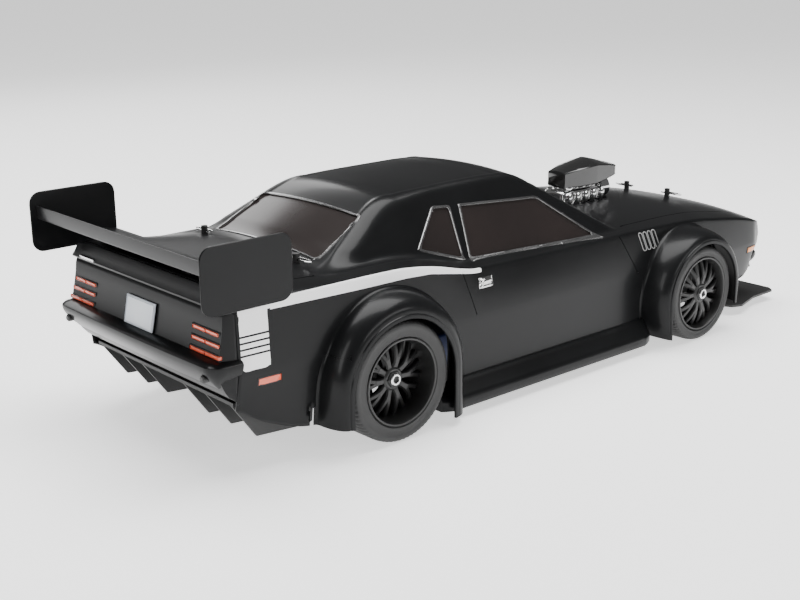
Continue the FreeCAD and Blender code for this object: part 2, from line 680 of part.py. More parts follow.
def blower():
    """Blower case with drive end through the hood, and the air scoop on top of it."""
    case = box(*BLOWER_X, -17, 17, 122, 152)
    ribs = [box(x, x + 4, -19, 19, 136, 150) for x in range(136, 202, 13)]
    nose = rod(9, (205, 0, 144), (212, 0, 144))
    throat = box(146, 196, -12, 12, 150, 158)
    side_view = [(130, 156), (213, 157), (213, 160), (192, 175), (150, 172), (130, 168)]
    scoop = plate(side_view, "y", -20, 20)
    mouth = plate([(214, 159), (214, 163), (192, 173), (186, 173), (186, 159)], "y", -17, 17)
    return [join(case, nose, throat.cut(box(140, 200, -20, 20, 156, 160)), *ribs), scoop.cut(mouth)]


def body_post(post_x, post_y, foot_z, clip_z):
    """Post with a foot and a cross hole for its clip."""
    foot = rod(5, (post_x, post_y, foot_z), (post_x, post_y, foot_z + 3))
    stem = rod(POST_R, (post_x, post_y, foot_z), (post_x, post_y, clip_z + 5))
    hole = rod(1.3, (post_x, post_y - 6, clip_z), (post_x, post_y + 6, clip_z))
    return join(foot, stem).cut(hole)


def body_clip(post_x, post_y, clip_z):
    """Left-hand spring clip: a straight leg through the post, a bow, and a bent second leg."""
    y0 = post_y - 8
    y1 = post_y + 12
    upper = clip_z + 2.6 * POST_R
    leg = rod(CLIP_R, (post_x, y0, clip_z), (post_x, y1, clip_z))
    other = rod(CLIP_R, (post_x + 5, y0 + 2, clip_z), (post_x + 5, y1, clip_z))
    bend_a = rod(CLIP_R, (post_x, y1, clip_z), (post_x + 2.5, y1 + 5, clip_z))
    bend_b = rod(CLIP_R, (post_x + 2.5, y1 + 5, clip_z), (post_x + 5, y1, clip_z))
    balls = []
    for x, y in ((post_x, y1), (post_x + 2.5, y1 + 5), (post_x + 5, y1)):
        balls.append(Part.makeSphere(CLIP_R, V(x, y, clip_z)))
    return join(leg, other, bend_a, bend_b, *balls)


def build_corner(end, hand_name, place):
    """All pieces of one corner; place moves a left piece to its side."""
    front = end == "front"
    axle_x = FRONT_X if front else REAR_X
    radius = FRONT_TYRE_R if front else REAR_TYRE_R
    span = FRONT_TYRE_Y if front else REAR_TYRE_Y
    hub_y = 146.0 if front else 132.0
    cup_y = KINGPIN_Y if front else REAR_JOINT_Y
    name = end + "_" + hand_name + "_"
    pieces = {
        "tyre": [tyre(axle_x, radius, span)],
        "rim": rim(axle_x, radius, span, hub_y, cup_y),
        "drive_shaft": [drive_shaft(axle_x, radius, cup_y)],
        "lower_arm": [lower_arm(axle_x)],
        "upper_arm": [upper_arm(axle_x)],
        "shock_body": [shock_body(axle_x + SHOCK_X)],
        "shock_shaft": [shock_shaft(axle_x + SHOCK_X)],
        "spring": [spring(axle_x + SHOCK_X)],
    }
    if front:
        pieces["caster_block"] = [caster_block()]
        pieces["knuckle"] = [steering_knuckle()]
        pieces["track_rod"] = [track_rod()]
        post, foot_z = FRONT_POST, 92.0
    else:
        pieces["carrier"] = [rear_carrier()]
        post, foot_z = REAR_POST, 112.0
    pieces["clip"] = [body_clip(post[0], post[1], CLIP_Z[end])]
    for piece, shapes in pieces.items():
        save(name + piece, *[place(shape) for shape in shapes])
    return place(body_post(post[0], post[1], foot_z + 0.3, CLIP_Z[end]))


def build():
    """Write every piece of the car."""
    os.makedirs("parts", exist_ok=True)
    posts = []
    for end in ("front", "rear"):
        posts.append(build_corner(end, "left", lambda shape: shape))
        posts.append(build_corner(end, "right", mirrored))
    save("body_posts", *posts)
    save("body_shell", body_shell())
    save("rear_wing", rear_wing())
    save("blower", *blower())
    save("chassis_plate", chassis_plate())
    save("front_splitter", front_splitter())
    save("rear_diffuser", rear_diffuser())
    save("front_gearbox", front_gearbox())
    save("rear_gearbox", rear_gearbox())
    save("motor", motor(), *centre_bearings())
    save("steering_servo", steering_servo())
    save("speed_controller", speed_controller())
    save("battery", battery())
    save("centre_shaft", centre_shaft())
    save("motor_pinion", motor_pinion())
    save("steering_arm", steering_arm())


build()
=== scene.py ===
"""Looks of the radio-controlled drift car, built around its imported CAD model.

Shapes are worked out in millimetres in the part's frame (x forward, y left, z up, origin on the
ground midway between the axles) and turned into metres when their mesh is made.
"""
import math

import bmesh
import bpy
import numpy as np
from mathutils import Matrix, Vector


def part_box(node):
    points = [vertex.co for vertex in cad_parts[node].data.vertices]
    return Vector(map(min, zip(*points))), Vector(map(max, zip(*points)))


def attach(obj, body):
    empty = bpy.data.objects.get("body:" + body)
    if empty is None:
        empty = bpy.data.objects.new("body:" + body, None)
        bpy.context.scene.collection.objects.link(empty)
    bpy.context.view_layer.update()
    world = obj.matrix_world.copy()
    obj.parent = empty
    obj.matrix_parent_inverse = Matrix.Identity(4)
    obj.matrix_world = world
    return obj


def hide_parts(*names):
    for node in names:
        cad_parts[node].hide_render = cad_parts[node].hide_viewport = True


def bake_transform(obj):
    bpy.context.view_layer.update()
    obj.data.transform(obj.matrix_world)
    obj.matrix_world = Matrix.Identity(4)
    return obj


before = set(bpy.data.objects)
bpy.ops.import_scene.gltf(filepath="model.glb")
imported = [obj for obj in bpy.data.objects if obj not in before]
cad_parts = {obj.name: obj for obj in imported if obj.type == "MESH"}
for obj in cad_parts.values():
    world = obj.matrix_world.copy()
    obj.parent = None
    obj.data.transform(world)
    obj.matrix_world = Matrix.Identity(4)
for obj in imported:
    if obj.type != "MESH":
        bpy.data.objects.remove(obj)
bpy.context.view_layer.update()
MM = 0.001

# ---------------- driving dimensions, in mm

TAIL_X, NOSE_X = -360.0, 360.0  # where the upper surface ends, at the middle
TAIL_SIDE_X, NOSE_SIDE_X = -352.0, 357.0  # where the body sides end
WALL = 1.6
TOP_COLUMNS = 66
REAR_ARCH = {
    "root": 77.0, "leg_root": 72.0, "cut": 72.0, "lip": 60.5, "opening": 56.0, "lip_y": 150.0,
    "front_z": 8.0, "back_z": 28.0, "nut_y": 136.0,
}
FRONT_ARCH = {
    "root": 67.5, "leg_root": 67.5, "cut": 65.0, "lip": 57.5, "opening": 53.0, "lip_y": 153.0,
    "front_z": 30.0, "back_z": 12.0, "nut_y": 150.0,
}
ARCHES = {"rear": REAR_ARCH, "front": FRONT_ARCH}
WINDOW_DEPTH = 0.9
NOTCH_X = -279.0  # slot between the rear flare and the corner of the body


def corner_box(corner, part):
    """Centre x, centre z, radius and near and far y of one wheel's part, in mm."""
    low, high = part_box(corner + "_" + part)
    low, high = low / MM, high / MM
    span = sorted((abs(low.y), abs(high.y)))
    return (low.x + high.x) / 2, (low.z + high.z) / 2, (high.z - low.z) / 2, span


CORNERS = ["front_left", "front_right", "rear_left", "rear_right"]
WHEELS = {corner: corner_box(corner, "tyre") for corner in CORNERS}

# ---------------- curves and fields


def curve(*points):
    """A smooth function through (x, value) points that never swings past them."""
    xs, vs = np.array(points, float).T
    width = np.diff(xs)
    slope = np.diff(vs) / width
    tangent = np.zeros_like(vs)
    before, after = slope[:-1], slope[1:]
    rising = before * after > 0
    total = np.where(rising, before + after, 1.0)
    tangent[1:-1] = np.where(rising, 2 * before * after / total, 0.0)
    tangent[0], tangent[-1] = slope[0], slope[-1]

    def at(x):
        x = np.clip(x, xs[0], xs[-1])
        i = np.clip(np.searchsorted(xs, x) - 1, 0, len(width) - 1)
        h = width[i]
        t = (x - xs[i]) / h
        start = (2 * t**3 - 3 * t**2 + 1) * vs[i] + (t**3 - 2 * t**2 + t) * h * tangent[i]
        return start + (3 * t**2 - 2 * t**3) * vs[i + 1] + (t**3 - t**2) * h * tangent[i + 1]

    return at


def line(*points):
    """Straight runs through (x, value) points."""
    xs, vs = np.array(points, float).T
    return lambda x: np.interp(x, xs, vs)


def smooth_max(a, b, width):
    """The larger of a and b, rounded where they cross."""
    share = np.clip(0.5 + 0.5 * (a - b) / width, 0, 1)
    return b + (a - b) * share + width * share * (1 - share) / 2


def smooth_min(a, b, width):
    """The smaller of a and b, rounded where they cross."""
    return -smooth_max(-np.asarray(a), -np.asarray(b), width)


def polygon_field(points, u, v, rounding):
    """Roughly the distance outside a convex polygon, negative inside it, with rounded corners."""
    points = np.array(points, float)
    middle = points.mean(0)
    field = None
    for a, b in zip(points, np.roll(points, -1, 0)):
        normal = np.array([b[1] - a[1], a[0] - b[0]])
        normal /= np.hypot(*normal)
        if normal @ (a - middle) < 0:
            normal = -normal
        side = (u - a[0]) * normal[0] + (v - a[1]) * normal[1]
        field = side if field is None else smooth_max(field, side, rounding)
    return field


# ---------------- body lines, along x

MIDDLE_Z = curve(
    (-368, 157), (-352, 158.5), (-327, 157.5), (-290, 156), (-240, 154.5), (-110, 150), (118, 134),
    (150, 133), (200, 131.5), (240, 129), (285, 122.5), (330, 113.5), (352, 106.5), (366, 100),
)
SHOULDER_Y = curve(
    (-368, 118), (-340, 119.2), (-300, 120), (-227, 121), (-166, 121), (-114, 119), (-60, 117.5),
    (20, 117), (228, 117), (271, 116), (316, 114), (345, 111.5), (357, 108), (364, 103),
)
SHOULDER_Z = curve(
    (-368, 139), (-340, 142.8), (-299, 143.9), (-227, 144.2), (-190, 143.6), (-166, 141.4), (-151, 139),
    (-138, 136.2), (-114, 130), (-95, 126.4), (-40, 124.5), (20, 123.8), (109, 123.3), (186, 121.8),
    (228, 119.5),
    (271, 114), (316, 106.8), (345, 100), (362, 95),
)
WIDEST_Y = curve(
    (-368, 120), (-330, 121.8), (-299, 123), (-227, 125), (-150, 126), (-99, 125.5), (0, 124.5),
    (104, 123.5), (186, 122.5), (271, 120), (316, 117), (345, 114), (358, 109),
)
WIDEST_Z = curve(
    (-368, 87), (-330, 88), (-299, 89), (-166, 86), (-99, 84), (104, 82), (271, 76), (345, 74),
    (358, 72),
)
HEM_Y = curve(
    (-368, 112), (-330, 116), (-283, 118.5), (-150, 121), (-110, 121), (104, 121), (160, 120),
    (271, 115), (345, 108), (358, 102),
)
HEM_Z = curve(
    (-368, 64), (-348, 56), (-325, 42), (-283, 28.5), (-262, 27), (-150, 20), (-110, 18), (104, 16),
    (150, 18), (270, 30), (333, 36), (352, 46), (359, 52),
)
DECK_POWER = curve((-368, 20), (-340, 15), (-300, 5), (-250, 2.5), (360, 2.5))
ROOF_Z = curve((-200, 191), (-160, 194.5), (-100, 196.5), (-40, 196.8), (20, 194))
CABIN_FOOT_Y = line((-240, 112), (-150, 110), (-90, 107), (100, 105))
RAIL_ROUNDING = line((-180, 20), (-110, 9), (60, 8))
FOOT_ROUNDING = line((-200, 10), (-120, 8), (-90, 3), (90, 3), (130, 5))
SIDE_LEAN = 1.6
SIDE_FOOT_Z = 127.0


def windshield_foot(y):
    return 118 - 0.0019 * y**2


def deck(x, y):
    """Hood, trunk lid and the ledge beside the windows."""
    middle = MIDDLE_Z(x)
    edge = np.clip(np.abs(y) / SHOULDER_Y(x), 0, 1.1)
    return middle - (middle - SHOULDER_Z(x)) * edge ** DECK_POWER(x)


def cabin(x, y):
    """Roof, windshield, rear window and leaning sides."""
    roof = ROOF_Z(x) - 0.0008 * y**2
    windshield = 134 + (windshield_foot(y) - x) * 0.545
    rear = 153.3 + (x + 237.6) * 0.518 + 0.0007 * (72**2 - y**2)
    side = SIDE_FOOT_Z + (CABIN_FOOT_Y(x) - np.abs(y)) * SIDE_LEAN
    slope = smooth_min(smooth_min(roof, windshield, 10), rear, 10)
    return smooth_min(slope, side, RAIL_ROUNDING(x))


def upper_surface(x, y):
    return smooth_max(deck(x, y), cabin(x, y), FOOT_ROUNDING(x))


def side_y(x, z):
    """Half width of the body side at a height."""
    up = np.clip((z - WIDEST_Z(x)) / (SHOULDER_Z(x) - WIDEST_Z(x)), 0, 1)
    down = np.clip((WIDEST_Z(x) - z) / (WIDEST_Z(x) - HEM_Z(x)), 0, 1)
    above = WIDEST_Y(x) - (WIDEST_Y(x) - SHOULDER_Y(x)) * up**1.35
    below = (WIDEST_Y(x) - HEM_Y(x)) * down**1.05
    return above - below


# ---------------- materials

MATERIALS = {}
GLOSS_SPREAD = 0.06


def material(
    name, dark, light, roughness,
    metallic=0.0, coat=0.0, specular=0.5, glow=0.0, patch=9.0, grain=900.0, bump=0.15,
):
    """A surface whose colour, gloss and relief vary a little at two scales."""
    made = bpy.data.materials.new(name)
    made.use_nodes = True
    nodes, links = made.node_tree.nodes, made.node_tree.links
    shader = nodes["Principled BSDF"]
    shader.inputs["Metallic"].default_value = metallic
    shader.inputs["Coat Weight"].default_value = coat
    shader.inputs["Coat Roughness"].default_value = 0.12
    shader.inputs["Specular IOR Level"].default_value = specular
    shader.inputs["Emission Color"].default_value = (1, 1, 1, 1)
    shader.inputs["Emission Strength"].default_value = glow
    place = nodes.new("ShaderNodeTexCoord")
    patches = nodes.new("ShaderNodeTexNoise")
    patches.inputs["Scale"].default_value = patch
    patches.inputs["Detail"].default_value = 4.0
    ramp = nodes.new("ShaderNodeValToRGB")
    ramp.color_ramp.elements[0].position = 0.3
    ramp.color_ramp.elements[1].position = 0.7
    ramp.color_ramp.elements[0].color = (*dark, 1)
    ramp.color_ramp.elements[1].color = (*light, 1)
    fine = nodes.new("ShaderNodeTexNoise")
    fine.inputs["Scale"].default_value = grain
    fine.inputs["Detail"].default_value = 3.0
    gloss = nodes.new("ShaderNodeMapRange")
    gloss.inputs["To Min"].default_value = max(0.02, roughness - GLOSS_SPREAD)
    gloss.inputs["To Max"].default_value = roughness + GLOSS_SPREAD
    relief = nodes.new("ShaderNodeBump")
    relief.inputs["Strength"].default_value = bump
    relief.inputs["Distance"].default_value = 0.0002
    for texture in (patches, fine):
        links.new(place.outputs["Object"], texture.inputs["Vector"])
    links.new(patches.outputs["Fac"], ramp.inputs["Fac"])
    links.new(ramp.outputs["Color"], shader.inputs["Base Color"])
    links.new(patches.outputs["Fac"], gloss.inputs["Value"])
    links.new(gloss.outputs["Result"], shader.inputs["Roughness"])
    links.new(fine.outputs["Fac"], relief.inputs["Height"])
    links.new(relief.outputs["Normal"], shader.inputs["Normal"])
    MATERIALS[name] = made
    return made


def grey(level, tint=0.0):
    """A grey, a little bluer with tint."""
    return (level, level * (1 + tint / 3), level * (1 + tint))


def make_materials():
    """Every finish in the record's slots."""
    material(
        "shell_paint", grey(0.0055, 0.1), grey(0.008, 0.1), 0.3, coat=0.1, specular=0.13, bump=0.04
    )
    # The white stripe also glows a little though it is no lamp: painted light that brightens it.
    material("shell_white", grey(0.9), grey(0.95), 0.3, coat=0.2, glow=0.2, bump=0.04)
    material(
        "window_tint", (0.019, 0.0155, 0.015), (0.027, 0.0215, 0.0205), 0.18,
        coat=0.03, specular=0.16, bump=0.02,
    )
    material("lamp_red", (0.78, 0.11, 0.05), (0.86, 0.16, 0.08), 0.25, coat=0.5, patch=60)
    material("lamp_amber", (0.8, 0.25, 0.04), (0.88, 0.33, 0.07), 0.25, coat=0.5, patch=60)
    material("plate_white", (0.7, 0.74, 0.8), (0.78, 0.82, 0.86), 0.3, coat=0.3, patch=40)
    material("chrome_trim", grey(0.75), grey(0.82), 0.08, metallic=1.0, patch=50, bump=0.03)
    material("tyre_rubber", grey(0.018), grey(0.028), 0.62, patch=70, grain=1800, bump=0.5)
    material("rim_black", grey(0.008), grey(0.011), 0.42, patch=40, bump=0.08)
    material("hub_metal", grey(0.68), grey(0.78), 0.2, metallic=1.0, patch=90, bump=0.06)
    material("black_nylon", grey(0.015), grey(0.022), 0.5, patch=30, grain=1500, bump=0.3)
    material("alloy_dark", grey(0.07), grey(0.09), 0.35, metallic=0.9, patch=30, bump=0.1)
    material("alloy_shock", grey(0.42), grey(0.5), 0.28, metallic=1.0, patch=50, bump=0.08)
    material("steel", grey(0.45), grey(0.55), 0.25, metallic=1.0, patch=80, bump=0.08)
    material("spring_red", (0.4, 0.02, 0.02), (0.5, 0.03, 0.03), 0.3, coat=0.4, patch=60)
    material("motor_can", grey(0.05), grey(0.07), 0.3, metallic=0.6, patch=40)
    material("case_plastic", grey(0.03), grey(0.04), 0.5, patch=40, grain=1600, bump=0.3)
    material("battery_wrap", (0.02, 0.035, 0.12), (0.03, 0.05, 0.16), 0.35, coat=0.3, patch=25)
    material("decal_grey", grey(0.32), grey(0.36), 0.4, patch=30, bump=0.03)
    # Brighter satin metal for the window beads: a painted highlight, as the beads are really in the
    # body's black paint.
    material("bead_highlight_satin", grey(0.2), grey(0.26), 0.24, metallic=0.9, patch=30, bump=0.03)
    material("scoop_gloss", grey(0.012), grey(0.016), 0.12, coat=0.5, bump=0.02)


# ---------------- meshes


def grid_faces(rows, columns, wrap_rows=False, wrap_columns=False):
    """Quads of a grid of points laid out row by row."""
    faces = []
    for i in range(rows if wrap_rows else rows - 1):
        for j in range(columns if wrap_columns else columns - 1):
            i2, j2 = (i + 1) % rows, (j + 1) % columns
            faces.append((i * columns + j, i * columns + j2, i2 * columns + j2, i2 * columns + j))
    return faces


class Shape:
    """Points in mm and faces, gathered from the solids of one piece."""

    def __init__(self):
        self.points = []
        self.faces = []

    def add(self, points, faces):
        base = len(self.points)
        self.points += [tuple(map(float, p)) for p in points]
        self.faces += [tuple(base + i for i in face) for face in faces]
        return self

    def grid(self, points, **wrap):
        rows, columns = points.shape[:2]
        return self.add(points.reshape(-1, 3), grid_faces(rows, columns, **wrap))

    def tube(self, rings, closed_path=False):
        """Closed rings of points joined in order, with flat ends."""
        rings = np.array(rings, float)
        count, size = rings.shape[:2]
        faces = grid_faces(count, size, wrap_rows=closed_path, wrap_columns=True)
        if not closed_path:
            faces.append(tuple(reversed(range(size))))
            faces.append(tuple(range((count - 1) * size, count * size)))
        return self.add(rings.reshape(-1, 3), faces)

    def mirror(self):
        """Adds the same shape on the other side of the car."""
        base = len(self.points)
        self.points += [(x, -y, z) for x, y, z in self.points]
        self.faces += [tuple(base + i for i in reversed(face)) for face in self.faces]
        return self


def new_object(name, shape, materials, sharp=32.0):
    """A mesh object in metres from a Shape, smooth except at sharp edges."""
    mesh = bpy.data.meshes.new(name)
    points = np.array(shape.points) * MM
    mesh.from_pydata(points.tolist(), [], shape.faces)
    for slot_name in materials:
        mesh.materials.append(MATERIALS[slot_name])
    made = bpy.data.objects.new(name, mesh)
    bpy.context.scene.collection.objects.link(made)
    clean(made, sharp)
    return made


def clean(made, sharp):
    """Merges doubled points, turns faces outward and shades the mesh."""
    mesh = made.data
    work = bmesh.new()
    work.from_mesh(mesh)
    bmesh.ops.remove_doubles(work, verts=work.verts, dist=0.01 * MM)
    bmesh.ops.dissolve_degenerate(work, edges=work.edges, dist=0.005 * MM)
    bmesh.ops.recalc_face_normals(work, faces=work.faces)
    work.to_mesh(mesh)
    work.free()
    mesh.polygons.foreach_set("use_smooth", [True] * len(mesh.polygons))
    mesh.set_sharp_from_angle(angle=math.radians(sharp))


def place(made, body, slot_name, *replaced):
    """Says what a finished piece moves with and stands for; slot_name is not used."""
    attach(made, body)
    if replaced:
        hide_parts(*replaced)
    return made


def piece(name, shape, slot_name, body="shell", node="body_shell", sharp=32.0):
    """A finished piece in its slot's material that rides on a body and stands for a CAD node."""
    return place(new_object(name, shape, [slot_name], sharp), body, slot_name, node)


# ---------------- cutting a mesh by fields


class Cutter:
    """Divides a mesh along field = 0 lines and works on the faces inside them."""

    def __init__(self, made):
        self.made = made
        self.work = bmesh.new()
        self.work.from_mesh(made.data)

    def coords(self, items):
        return np.array([v.co for v in items]) / MM

    def divide(self, field):
        """Cuts edges that cross the field's zero line; returns the values at all points."""
        work = self.work
        verts = list(work.verts)
        values = dict(zip(verts, field(self.coords(verts)).tolist()))
        near = 0.12
        for edge in work.edges:
            a, b = edge.verts
            fa, fb = values[a], values[b]
            if fa * fb < 0:
                t = fa / (fa - fb)
                if t < near:
                    a.co = a.co.lerp(b.co, t)
                    values[a] = 0.0
                elif t > 1 - near:
                    b.co = b.co.lerp(a.co, 1 - t)
                    values[b] = 0.0
        touched = {}  # a dictionary keeps its order, so every run gives the same mesh
        for edge in [e for e in work.edges if values[e.verts[0]] * values[e.verts[1]] < 0]:
            a, b = edge.verts
            t = values[a] / (values[a] - values[b])
            _, point = bmesh.utils.edge_split(edge, a, t)
            values[point] = 0.0
        for vert, value in values.items():
            if value == 0.0:
                touched.update(dict.fromkeys(vert.link_faces))
        for face in touched:
            signs = [values[v] for v in face.verts]
            if min(signs) < 0 < max(signs):
                self.split(face, values)
        return values

    def split(self, face, values):
        zero = [v for v in face.verts if values[v] == 0.0]
        for i, a in enumerate(zero):
            for b in zero[i + 1:]:
                if not any(e.other_vert(a) is b for e in a.link_edges):
                    try:
                        bmesh.utils.face_split(face, a, b)
                    except ValueError:
                        continue
                    return

    def band(self, centre, half_width):
        """Cuts a narrow band: first its centre line, so that no cell is wider than the band."""
        self.divide(centre)
        self.divide(lambda c: np.abs(centre(c)) - half_width)

    def merge(self, distance):
        bmesh.ops.remove_doubles(self.work, verts=self.work.verts, dist=distance * MM)

    def inside(self, field):
        """The faces whose middle has a negative field."""
        faces = list(self.work.faces)
        middles = np.array([f.calc_center_median() for f in faces]) / MM
        return [f for f, value in zip(faces, field(middles)) if value < 0]

    def press(self, faces, wall, depth):
        """Pushes a region in, or out with a negative depth, with a narrow sloped wall around it."""
        bmesh.ops.inset_region(
            self.work, faces=faces, thickness=wall * MM, depth=-depth * MM,
            use_boundary=False, use_even_offset=False,
        )

    def finish(self, sharp=32.0):
        self.work.to_mesh(self.made.data)
        self.work.free()
        mesh = self.made.data
        mesh.polygons.foreach_set("use_smooth", [True] * len(mesh.polygons))
        mesh.set_sharp_from_angle(angle=math.radians(sharp))


# ---------------- body shell


def body_half(stations):
    """Points of the left half, one row per station, from the middle of the top to the hem."""
    x = stations[:, None]
    corner_y, corner_z = SHOULDER_Y(x), SHOULDER_Z(x)
    ease = 2.5
    y = (corner_y - ease) * np.linspace(0, 1, TOP_COLUMNS)[None, :]
    z = upper_surface(x, y)
    top = np.stack([np.broadcast_to(x, y.shape), y, z], -1)
    down_z = corner_z - ease
    after = np.stack([x, side_y(x, down_z), down_z], -1)
    corner = np.stack([x, corner_y, corner_z], -1)
    before = top[:, -1:, :]
    t = np.linspace(0.2, 1, 5)[None, :, None]
    bend = (1 - t) ** 2 * before + 2 * t * (1 - t) * corner + t**2 * after
    upper_t = np.linspace(0, 1, 15)[None, 1:]
    lower_t = np.linspace(0, 1, 15)[None, 1:]
    upper_z = down_z + (WIDEST_Z(x) - down_z) * upper_t
    lower_z = WIDEST_Z(x) + (HEM_Z(x) - WIDEST_Z(x)) * lower_t
    side_z = np.concatenate([upper_z, lower_z], 1)
    side = np.stack([np.broadcast_to(x, side_z.shape), side_y(x, side_z), side_z], -1)
    return np.concatenate([top, bend, side], 1)


def end_rows(row, end_x, count=5):
    """Extra rows that carry the upper surface on to its end, while the sides stay where they are."""
    reach = np.clip((114 - np.abs(row[:, 1])) / 12, 0, 1)
    on_top = row[:, 2] > SHOULDER_Z(row[:, 0]) - 1
    rows = []
    for step in np.linspace(0, 1, count)[1:]:
        moved = row.copy()
        moved[:, 0] += (end_x - row[:, 0]) * step * reach * on_top
        moved[:, 2] = np.where(on_top & (reach > 0.2), deck(moved[:, 0], moved[:, 1]), moved[:, 2])
        rows.append(moved)
    return np.array(rows)


def body_points():
    stations = np.linspace(TAIL_SIDE_X, NOSE_SIDE_X, 246)
    half = body_half(stations)
    tail = end_rows(half[0], TAIL_X)[::-1]
    nose = end_rows(half[-1], NOSE_X)
    half = np.concatenate([tail, half, nose])
    other = half[:, :0:-1, :] * np.array([1, -1, 1])
    return np.concatenate([other, half], 1)


def door_glass(u, v):
    return polygon_field([(-75, 173.8), (22, 167.5), (78, 126.6), (-86, 133)], u, v, 4)


def quarter_glass(u, v):
    return polygon_field([(-108, 176.5), (-90, 174.6), (-97, 134.6), (-141, 148.5)], u, v, 4)


def side_glass_field(c):
    """Door and quarter windows, seen from the side."""
    x, y, z = c.T
    field = np.minimum(door_glass(x, z), quarter_glass(x, z))
    return np.where((np.abs(y) > 55) & (z > 118), field, 50.0)


def end_glass_field(c):
    """Rear window and windshield, seen from above."""
    x, y, z = c.T
    half = np.abs(y)
    rear = polygon_field([(-188, -70), (-188, 70), (-239, 74), (-239, -74)], x, y, 9)
    ahead = x - (windshield_foot(y) - 5)
    behind = 27 - x
    beside = half - line((27, 66), (108, 93))(x)
    screen = smooth_max(smooth_max(ahead, behind, 7), beside, 7)
    return np.where(z > 120, np.minimum(rear, screen), 50.0)


STRIPE_FOOT = line(
    (-352, 136.4), (-299, 135.8), (-224, 134.8), (-180, 134.6), (-152, 133), (-102, 123.4), (-88, 122),
)
BLOCK_X, BLOCK_HALF, BLOCK_Z = -336.3, 13.2, (91.0, 140.0)
LINE_LEVELS = (119.0, 113.8, 108.7, 103.6)
LINE_HALF = 0.8
GAP_HALF = 0.4
BEAD = 2.3


def stripe_field(c):
    """White hip stripe with its block behind the rear wheel."""
    x, y, z = c.T
    stripe = np.maximum(STRIPE_FOOT(x) - z, z - SHOULDER_Z(x) - 0.2)
    stripe = np.maximum(stripe, np.maximum(BLOCK_X - BLOCK_HALF - x, x + 88))
    block = smooth_max(np.abs(x - BLOCK_X) - BLOCK_HALF, BLOCK_Z[0] - z, 9)
    block = np.maximum(block, z - BLOCK_Z[1])
    field = smooth_min(stripe, block, 4)
    return np.where(np.abs(y) > 105, field, 50.0)


def stripe_lines():
    """Centre lines of the four dark lines across the block."""
    for level in LINE_LEVELS:
        yield lambda c, level=level: np.where(
            (np.abs(c[:, 1]) > 105) & (np.abs(c[:, 0] - BLOCK_X) < 18), c[:, 2] - level, 50.0
        )


def straight_gap(start, end, u, v):
    """Signed distance from a straight line, and how far beyond its ends a point lies."""
    (u0, v0), (u1, v1) = start, end
    length = math.hypot(u1 - u0, v1 - v0)
    du, dv = (u1 - u0) / length, (v1 - v0) / length
    across = (u - u0) * dv - (v - v0) * du
    along = (u - u0) * du + (v - v0) * dv
    return across, np.maximum(-along, along - length)


DOOR_GAPS = (((-114, 131), (-99, 84)), ((104, 123.4), (130, 80)))
HOOD_GAP = ((126, 101), (350, 93))
LID_GAP = ((-262, 101), (-352, 101))


def panel_gaps():
    """Signed distances from the door gaps and from the hood's and lid's side seams."""
    for start, end in DOOR_GAPS:
        def door(c, start=start, end=end):
            across, beyond = straight_gap(start, end, c[:, 0], c[:, 2])
            return np.where((np.abs(c[:, 1]) > 112) & (beyond < 0), across, 50.0)
        yield door
    for start, end in (HOOD_GAP, LID_GAP):
        def top(c, start=start, end=end):
            across, beyond = straight_gap(start, end, c[:, 0], np.abs(c[:, 1]))
            return np.where((np.abs(c[:, 1]) < 108) & (c[:, 2] > 90) & (beyond < 0), across, 50.0)
        yield top


def arch_field(c):
    """Wheel openings in the body side."""
    x, y, z = c.T
    fields = []
    for end, arch in ARCHES.items():
        axle_x, axle_z, _, _ = WHEELS[end + "_left"]
        fields.append(np.hypot(x - axle_x, np.maximum(z - axle_z, 0)) - arch["cut"])
    fields.append(np.maximum(np.abs(x - NOTCH_X) - 5, z - 44))
    return np.where(np.abs(y) > 90, np.min(fields, 0), 50.0)


def opening_field(c):
    """Hole in the top for the blower."""
    x, y, z = c.T
    hood = np.maximum(np.abs(x - 168) - 37.5, np.abs(y) - 18)
    return np.where(z > 110, hood, 50.0)


def trunk_pad_field(c):
    """Long raised plinths on the trunk lid that the wing stands on."""
    x, y, z = c.T
    pad = smooth_max(np.abs(x + 346) - 8, np.abs(np.abs(y) - 55) - 6, 3)
    return np.where(z > 140, pad, 50.0)


BODY_FINISHES = ["shell_paint", "shell_white", "window_tint", "bead_highlight_satin"]
PAINT, WHITE, GLASS, BEAD_HIGHLIGHT = range(4)


def make_body():
    shape = Shape().grid(body_points())
    made = new_object("body_shell_skin", shape, BODY_FINISHES, 40)
    cutter = Cutter(made)
    for field in (arch_field, opening_field):
        cutter.divide(field)
        bmesh.ops.delete(cutter.work, geom=cutter.inside(field), context="FACES")
    for field in (side_glass_field, end_glass_field):
        cutter.divide(field)
        cutter.divide(lambda c, field=field: field(c) - BEAD)
    for gap in panel_gaps():
        cutter.band(gap, GAP_HALF)
    cutter.divide(stripe_field)
    for centre in stripe_lines():
        cutter.band(centre, LINE_HALF)
    cutter.divide(trunk_pad_field)
    cutter.merge(0.1)
    for face in cutter.inside(stripe_field):
        face.material_index = WHITE
    for centre in stripe_lines():
        for face in cutter.inside(lambda c, centre=centre: np.abs(centre(c)) - LINE_HALF):
            face.material_index = PAINT
    for field in (side_glass_field, end_glass_field):
        for face in cutter.inside(field):
            face.material_index = GLASS
        beads = cutter.inside(lambda c, field=field: np.maximum(field(c) - BEAD, -field(c)))
        glass = cutter.inside(field)
        # The beads take the brighter satin finish as a painted highlight along the window edges.
        for face in beads:
            face.material_index = BEAD_HIGHLIGHT
        cutter.press(beads, 0.5, -0.8)
        cutter.press(glass, 0.2, WINDOW_DEPTH)
    for gap in panel_gaps():
        cutter.press(cutter.inside(lambda c, gap=gap: np.abs(gap(c)) - GAP_HALF), 0.1, 0.8)
    cutter.press(cutter.inside(trunk_pad_field), 1.0, -1.2)
    cutter.finish(34)
    thicken(made)
    place(made, "shell", "shell_paint", "body_shell")


def thicken(made):
    """Gives an open skin its wall, inward."""
    solid = made.modifiers.new("wall", "SOLIDIFY")
    solid.thickness = WALL * MM
    solid.offset = -1.0


# ---------------- tail and nose panels

